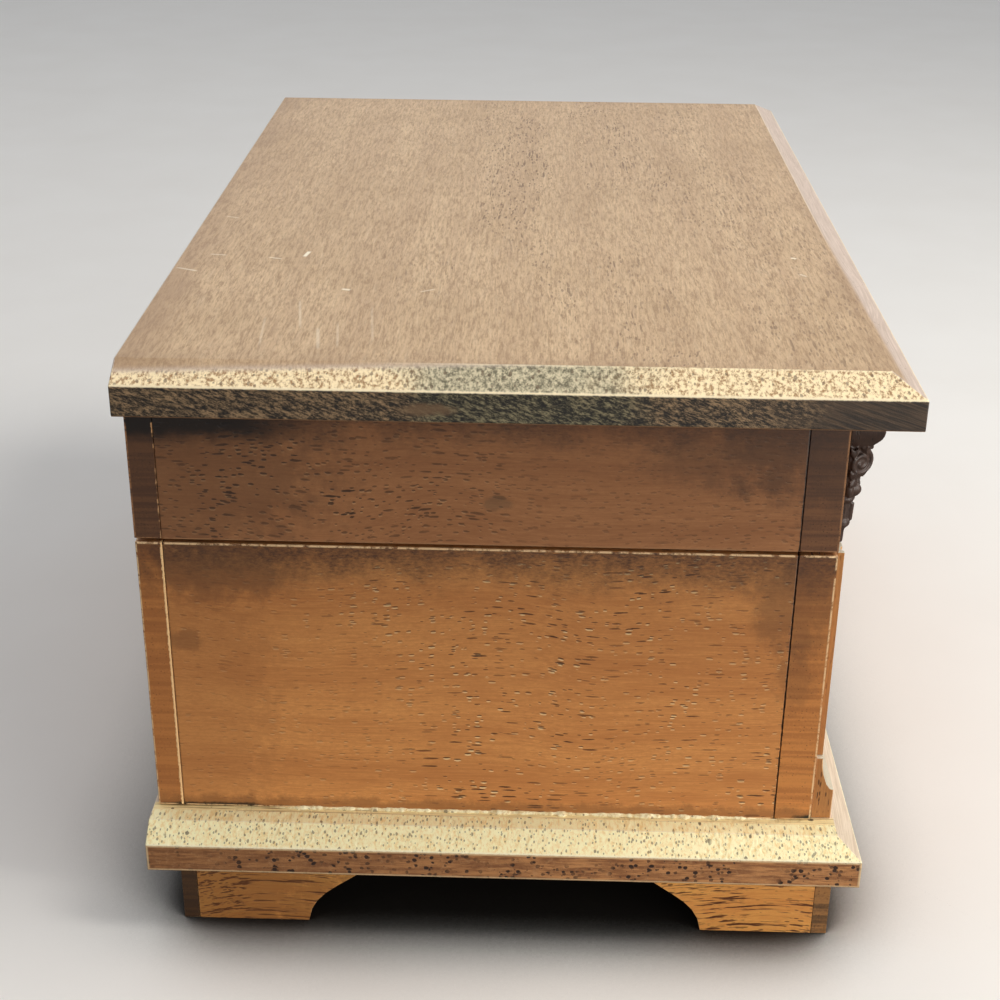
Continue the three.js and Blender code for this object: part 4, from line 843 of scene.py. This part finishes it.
def make_mirror_surround():
    """Padded velvet frame round the mirror, with mitred folds at its corners."""
    low, high = size_mm("mirror_surround")
    glass_low, glass_high = size_mm("mirror")
    gap = Vector((0.3, 0.3, 0))
    inner_low, inner_high = glass_low - gap, glass_high + gap
    # across the frame: share of the way from the outer to the inner edge, and drop from the lid board
    depth = high[Z] - low[Z]
    across = [(0, 0), (0, 0.55), (0.01, 0.8), (0.04, 0.95)]
    across += [(0.04 + 0.92 * i / 14, 0.95 + 0.1 * math.sin(math.pi * i / 14)) for i in range(1, 15)]
    across += [(0.985, 0.85), (1, 0.65), (1, 0)]
    along_side = 26
    rings = []
    for share, drop in across:
        a, b = low.lerp(inner_low, share), high.lerp(inner_high, share)
        corners = [Vector((a.x, a.y, 0)), Vector((b.x, a.y, 0)), Vector((b.x, b.y, 0)), Vector((a.x, b.y, 0))]
        ring = []
        for index in range(4):
            start, end = corners[index], corners[(index + 1) % 4]
            for i in range(along_side):
                t = i / along_side
                t = t - math.sin(math.tau * t) * 0.1
                point = start.lerp(end, t)
                fold = math.exp(-min(t, 1 - t) * 34)
                wave = noise.noise(point * 0.08 + Vector((0, 0, share * 3)))
                sag = drop + (0.03 * wave - 0.07 * fold) * math.sin(math.pi * share)
                ring.append((point.x, point.y, high[Z] - depth * sag))
        rings.append(ring)
    node = "mirror_surround"
    mesh = shell(rings, endless=True)
    piece = finished(f"{node}_cloth", mesh, materials[node], body_of[node], [node])


def add_ball(mesh, place, radius, squeeze=(1, 1, 1)):
    """A ball, squeezed or stretched along the axes."""
    spot = Matrix.Translation(place) @ Matrix.Diagonal((*(radius * k for k in squeeze), 1))
    bmesh.ops.create_icosphere(mesh, subdivisions=3, radius=1, matrix=spot)


def add_tube(mesh, points, radii, sides):
    """A tube along points, with a radius for each."""
    rings = []
    for i, point in enumerate(points):
        ahead = (points[min(i + 1, len(points) - 1)] - points[max(i - 1, 0)]).normalized()
        side = ahead.cross(Vector((0.31, 0.2, 0.93)))
        side = side.normalized() if side.length > 0.05 else ahead.orthogonal().normalized()
        other = ahead.cross(side)
        angles = [math.tau * k / sides for k in range(sides)]
        rings.append([point + (side * math.cos(a) + other * math.sin(a)) * radii[i] for a in angles])
    add_shell(mesh, rings)


def add_drum(mesh, middle, wall, rings):
    """A half-round body against the wall through rings of height, half width, depth and squareness."""
    sides = 28
    sections = []
    for z, width, depth, square in rings:
        section = []
        for k in range(sides + 1):
            angle = math.pi * k / sides
            across, out = math.cos(angle), math.sin(angle)
            section.append((middle - width * math.copysign(abs(across) ** square, across),
                            wall - depth * out ** square, z))
        sections.append(section)
    add_shell(mesh, sections)


def add_leaf(mesh, root, width, height, stand, curl, turn, lobes):
    """A lobed leaf that rises from its root and curls out at the tip, turned about the upright."""
    rows, columns, thickness = 36, 26, 1.5
    swing = Matrix.Rotation(turn, 3, "Z")
    front, back = [], []
    spine = Vector((0, 0, 0))
    for i in range(rows + 1):
        s = i / rows
        heading = -0.12 + stand * s + curl * max(0, (s - 0.62) / 0.38) ** 1.5
        if i:
            spine += Vector((0, -math.sin(heading), math.cos(heading))) * (height / rows)
        spread = max(math.sin(math.pi * (0.24 + 0.76 * s) ** 1.25) ** 0.6 if s < 0.99 else 0, 0.42)
        notch = 1 - 0.24 * abs(math.sin(math.pi * lobes * s)) ** 3
        out = Vector((0, -math.cos(heading), -math.sin(heading)))
        row_front, row_back = [], []
        for j in range(columns + 1):
            t = 2 * j / columns - 1
            folds = 0.34 * abs(math.cos(math.pi * 2.0 * t + 0.7 * math.sin(lobes * math.pi * s)))
            midrib = 0.42 * math.exp(-(t / 0.13) ** 2)
            edge = Vector((t * width / 2 * spread * notch, 0, 0))
            point = edge + spine + out * (folds + midrib - 0.75 * t * t)
            row_front.append(root + swing @ point)
            row_back.append(root + swing @ (point - out * thickness))
        front.append(row_front)
        back.append(row_back)
    add_shell(mesh, [f + b[::-1] for f, b in zip(front, back)])


def add_volute(mesh, centre, radius, turn):
    """A spiral scroll on a round boss, facing along the turn about the upright."""
    swing = Matrix.Rotation(turn, 3, "Z")
    boss = Matrix.Diagonal((radius * 0.5, radius * 0.92, radius * 0.92, 1))
    boss = Matrix.Translation(centre) @ swing.to_4x4() @ boss
    bmesh.ops.create_icosphere(mesh, subdivisions=3, radius=1, matrix=boss)
    steps, turns = 44, 1.7
    for side in (-1, 1):
        points, radii = [], []
        for i in range(steps + 1):
            share = i / steps
            angle = math.pi * 0.6 + math.tau * turns * share
            reach = radius * (0.92 - 0.74 * share)
            out = side * radius * (0.3 + 0.16 * share)
            points.append(centre + swing @ Vector((out, reach * math.cos(angle), reach * math.sin(angle))))
            radii.append(radius * (0.2 - 0.07 * share))
        add_tube(mesh, points, radii, 8)


def make_capitals():
    """Carved capitals: abacus, beads, corner volutes, two tiers of leaves, and a reeded neck."""
    for side in ("left", "right"):
        node = f"capital_{side}"
        low, high = size_mm(node)
        middle = (low.x + high.x) / 2
        half = (high.x - low.x) / 2
        wall, top = high.y, high.z
        mesh = bmesh.new()

        # tall abacus with a hollow below it, then a bell, a ring and the neck down to the case
        cap = ((0, 7.0, 7.15), (5.8, 7.0, 7.15), (6.4, 6.9, 7.0), (7.2, 6.75, 6.7), (7.9, 6.5, 6.2),
               (8.6, 6.2, 5.5), (9.3, 5.9, 4.8))
        sections = [[(middle - width, wall, top - drop), (middle - width, wall - depth, top - drop),
                     (middle + width, wall - depth, top - drop), (middle + width, wall, top - drop)]
                    for drop, width, depth in cap]
        add_shell(mesh, sections)
        bell = ((8.8, 5.9, 4.4, 0.5), (10.2, 6.0, 3.5, 0.6), (13, 6.1, 2.9, 0.6), (17, 5.9, 2.6, 0.7),
                (19, 5.4, 2.5, 0.7), (21, 5.0, 2.4, 0.7), (22.5, 4.9, 2.4, 0.7))
        add_drum(mesh, middle, wall, [(top - drop, *rest) for drop, *rest in bell])
        neck = ((21.0, 5.0, 2.4, 0.6), (21.4, 5.6, 3.0, 0.6), (21.9, 5.8, 3.15, 0.6), (22.4, 5.6, 2.9, 0.6),
                (22.8, 5.2, 2.4, 0.6), (26.6, 5.2, 2.3, 0.6), (27.1, 5.5, 2.6, 0.6), (28.1, 5.6, 2.55, 0.6),
                (28.8, 5.2, 1.8, 0.6), (29.4, 5.1, 1.45, 0.6), (32.1, 5.1, 1.35, 0.6))
        add_drum(mesh, middle, wall, [(top - drop, *rest) for drop, *rest in neck])
        beads, reeds, bead = 11, 6, 0.6
        bead_row, lobe_row = top - 9.5, top - 19.8
        for i in range(beads):
            x = middle + half * 0.76 * (2 * i / (beads - 1) - 1)
            add_ball(mesh, Vector((x, wall - 4.7, bead_row)), bead)
        for sign in (-1, 1):
            for i in range(4):
                add_ball(mesh, Vector((middle + sign * half * 0.78, wall - 0.5 - 1.25 * i, bead_row)), bead)
            add_volute(mesh, Vector((middle + sign * 4.6, wall - 2.35, top - 13.1)), 3.15, -sign * 0.5)
        # tiers of leaves: drop, height, stand, curl and lobes, then the front, corner and side leaves
        tiers = ((18.6, 8.6, 0.2, 1.6, 3, ((0, 3.0, 0, 6.2), (4.3, 2.9, 0.5, 5.4), (5.6, 1.0, 1.45, 4.0))),
                 (21.2, 5.8, 0.3, 1.8, 2, ((0, 3.0, 0, 4.8), (3.8, 2.9, 0.3, 4.8), (5.2, 1.1, 1.4, 3.6))))
        for drop, height, stand, curl, lobes, leaves in tiers:
            for x, y, turn, width in leaves:
                for sign in (-1, 1) if x else (1,):
                    root = Vector((middle + sign * x, wall - y, top - drop))
                    add_leaf(mesh, root, width, height, stand, curl, sign * turn, lobes)
        for i in range(6):
            add_ball(mesh, Vector((middle + 1.75 * (i - 2.5), wall - 1.9, lobe_row)), 1, (1.02, 2.0, 1.75))
        for sign in (-1, 1):
            add_ball(mesh, Vector((middle + sign * 5.0, wall - 1.2, lobe_row)), 1, (0.9, 1.0, 1.7))
        for i in range(reeds):
            x = middle + half * 0.6 * (2 * i / (reeds - 1) - 1)
            ends = [Vector((x, wall - 2.2, top - 23.0)), Vector((x, wall - 2.0, top - 27.0))]
            add_tube(mesh, ends, [0.6, 0.6], 12)
        for vertex in mesh.verts:
            for axis in range(3):
                vertex.co[axis] = min(max(vertex.co[axis], low[axis] + 0.02), high[axis] - 0.02)
        piece = finished(f"{node}_carving", mesh, materials[node], body_of[node], [node])
        skin = piece.modifiers.new("skin", "REMESH")
        skin.mode = "VOXEL"
        skin.voxel_size = 0.17 * MM
        skin.use_smooth_shade = True
        smooth = piece.modifiers.new("smooth", "CORRECTIVE_SMOOTH")
        smooth.iterations = 2
        smooth.use_only_smooth = True


def make_glue_bead():
    """Glue squeezed out along the foot of the left end panel, with lumps and breaks."""
    steps, rear, front = 300, 53.0, -63.5
    wall, floor = case_low.x + 0.15, base_high.z - 0.05
    rings = []
    for i in range(steps + 1):
        y = rear + (front - rear) * i / steps
        lump = 0.5 + 0.5 * noise.noise(Vector((0.35 * y, 1.5, 0)))
        lump += 0.35 * noise.noise(Vector((1.1 * y, 4.2, 0)))
        taper = min(1, 12 * i / steps, 12 * (steps - i) / steps)
        out = (0.35 + 1.25 * lump * lump) * taper + 0.06
        rise = (0.25 + 0.75 * lump) * taper + 0.06
        rings.append([(wall, y, floor), (wall - out, y, floor), (wall - 0.92 * out, y, floor + 0.4 * rise),
                      (wall - 0.6 * out, y, floor + 0.78 * rise), (wall - 0.25 * out, y, floor + rise),
                      (wall, y, floor + rise)])
    finished("glue_bead", shell(rings), materials["glue"], "case")


def add_screw_head(mesh, place, radius, rise, turn, slot=0.34):
    """A slotted head on a level face: two halves with a gap; rise is negative for one that hangs down."""
    sides, swing = 14, Matrix.Rotation(turn, 3, "Z")
    for half in (0, 1):
        rings = []
        for level, width in ((0, 1), (0.55, 1), (1, 0.72)):
            ring = []
            for k in range(sides + 1):
                angle = math.pi * (half + k / sides)
                along_slot, away = math.cos(angle) * width, math.sin(angle) * width
                away = math.copysign(max(abs(away) * radius, slot / 2), 0.5 - half)
                ring.append(place + swing @ Vector((along_slot * radius, away, rise * level)))
            rings.append(ring)
        add_shell(mesh, rings)


def make_screws():
    """Screws in the hinge leaves, and the four heads under the base that hold the movement."""
    steel = materials["mainspring"]
    hinge_row = 76.6  # Y of the screws in a hinge leaf
    for side in ("left", "right"):
        pin_low, pin_high = size_mm(f"hinge_pin_{side}")
        middle, level = (pin_low.x + pin_high.x) / 2, (pin_low.z + pin_high.z) / 2
        for body, rise in (("case", 1), ("lid", -1)):
            mesh = bmesh.new()
            for i in (-1, 0, 1):
                spot = Vector((middle + 8.3 * i, hinge_row, level - rise * 0.16))
                add_screw_head(mesh, spot, 1.5, rise * 0.1, 0.5 + 1.3 * i + rise)
            finished(f"hinge_screws_{body}_{side}", mesh, steel, body)
    low, high = size_mm("bedplate")
    inset = 3.0
    mesh = bmesh.new()
    for i, x in enumerate((low.x + inset, high.x - inset)):
        for j, y in enumerate((low.y + inset, high.y - inset)):
            spot = Vector((x, y, base_low.z + 0.1))
            add_screw_head(mesh, spot, 2.6, -1.4, 0.7 + i * 1.1 + j * 2.3, slot=0.6)
    finished("base_screws", mesh, steel, "case")


make_padding()
make_ring_rolls()
make_mirror_surround()
make_capitals()
make_glue_bead()
make_screws()


# Camera: placed by a pinhole fit to the box's edges in the photograph
camera_place = Vector((-424.76, -5.42, 261.17)) * MM
camera_yaw, camera_pitch, camera_roll = 0.02537, -0.42895, 0.00888
focal_pixels, picture_pixels = 1653.1, 1000
centre_pixel = (493.4, 454.96)
sensor = 36


def make_camera():
    data = bpy.data.cameras.new("camera")
    data.sensor_width = sensor
    data.lens = sensor * focal_pixels / picture_pixels
    data.shift_x = (picture_pixels / 2 - centre_pixel[0]) / picture_pixels
    data.shift_y = (centre_pixel[1] - picture_pixels / 2) / picture_pixels
    ahead = Vector((math.cos(camera_pitch) * math.cos(camera_yaw),
                    math.cos(camera_pitch) * math.sin(camera_yaw), math.sin(camera_pitch)))
    right = ahead.cross(Vector((0, 0, 1))).normalized()
    up = right.cross(ahead)
    right, up = (math.cos(camera_roll) * right + math.sin(camera_roll) * up,
                 math.cos(camera_roll) * up - math.sin(camera_roll) * right)
    camera = bpy.data.objects.new("camera", data)
    turn = Matrix((right, up, -ahead)).transposed().to_4x4()
    camera.matrix_world = Matrix.Translation(camera_place) @ turn
    bpy.context.scene.collection.objects.link(camera)
    bpy.context.scene.camera = camera


# Lamps: name, place in metres, size, power and tint
lamps = (
    ("key", (-0.12, -0.62, 0.8), 0.4, 5.2, (1, 0.95, 0.88)),
    ("front", (-0.6, -0.52, 0.14), 0.45, 3.4, (1, 0.94, 0.86)),
    ("fill", (0.2, 0.45, 1.0), 0.8, 1.6, (1, 0.97, 0.94)),
)
lamp_target = Vector((0, 0, 0.07))
ambient_at_horizon, ambient_overhead = 0.1, 0.6
floor_reach, shadow_reach = 6, 0.05


def make_stage():
    """Pale floor, pale surroundings and soft studio lamps."""
    mesh = bpy.data.meshes.new("floor")
    corners = [(x * floor_reach, y * floor_reach, 0) for x, y in ((-1, -1), (1, -1), (1, 1), (-1, 1))]
    mesh.from_pydata(corners, [], [(0, 1, 2, 3)])
    floor = bpy.data.objects.new("floor", mesh)
    floor.location.z = -0.02 * MM
    bpy.context.scene.collection.objects.link(floor)
    # the floor looks pale, with a painted deep shadow under the box from ambient occlusion, but throws little
    # light back up
    s = Shader("floor", Roughness=0.8, Specular_IOR_Level=0.1)
    seen = s.node("ShaderNodeLightPath").outputs["Is Camera Ray"]
    near = s.tree.nodes.new("ShaderNodeAmbientOcclusion")
    near.inputs["Distance"].default_value = shadow_reach
    open_sky = s.ease(near.outputs["AO"], 0.36, 0.95)
    pale = s.mix(s.noise(s.at, 0.02, detail=4), (240, 238, 234), (246, 245, 242))
    pale = s.mix(open_sky, (22, 20, 18), pale)
    s.colour(s.mix(seen, (130, 126, 120), pale))
    mesh.materials.append(s.material)

    world = bpy.data.worlds.new("studio")
    bpy.context.scene.world = world
    world.use_nodes = True
    s = Nodes(world.node_tree)

    # ambient light comes mostly from above; what is seen directly, in gloss or through glass is plain
    ambient = s.tree.nodes["Background"]
    ambient.inputs["Color"].default_value = (0.94, 0.96, 1.0, 1)
    rise = s.axis(s.node("ShaderNodeTexCoord").outputs["Generated"], Z)
    rise = s.node("ShaderNodeMapRange", rise, 0, 1, ambient_at_horizon, ambient_overhead)
    s.put(ambient.inputs["Strength"], rise.outputs[0])
    seen = s.node("ShaderNodeBackground", (232, 232, 234))
    ray = s.node("ShaderNodeLightPath").outputs
    share = s.most(s.most(ray["Is Camera Ray"], ray["Is Glossy Ray"]), ray["Is Transmission Ray"])
    switch = s.node("ShaderNodeMixShader", share, ambient.outputs[0], seen.outputs[0])
    s.put(s.tree.nodes["World Output"].inputs["Surface"], switch.outputs[0])

    for name, place, size, power, tint in lamps:
        data = bpy.data.lights.new(name, "AREA")
        data.size, data.energy, data.color = size, power, tint
        lamp = bpy.data.objects.new(name, data)
        lamp.location = place
        lamp.rotation_euler = (lamp_target - Vector(place)).to_track_quat("-Z", "Y").to_euler()
        bpy.context.scene.collection.objects.link(lamp)


make_camera()
make_stage()
bpy.context.scene.view_settings.view_transform = "Standard"
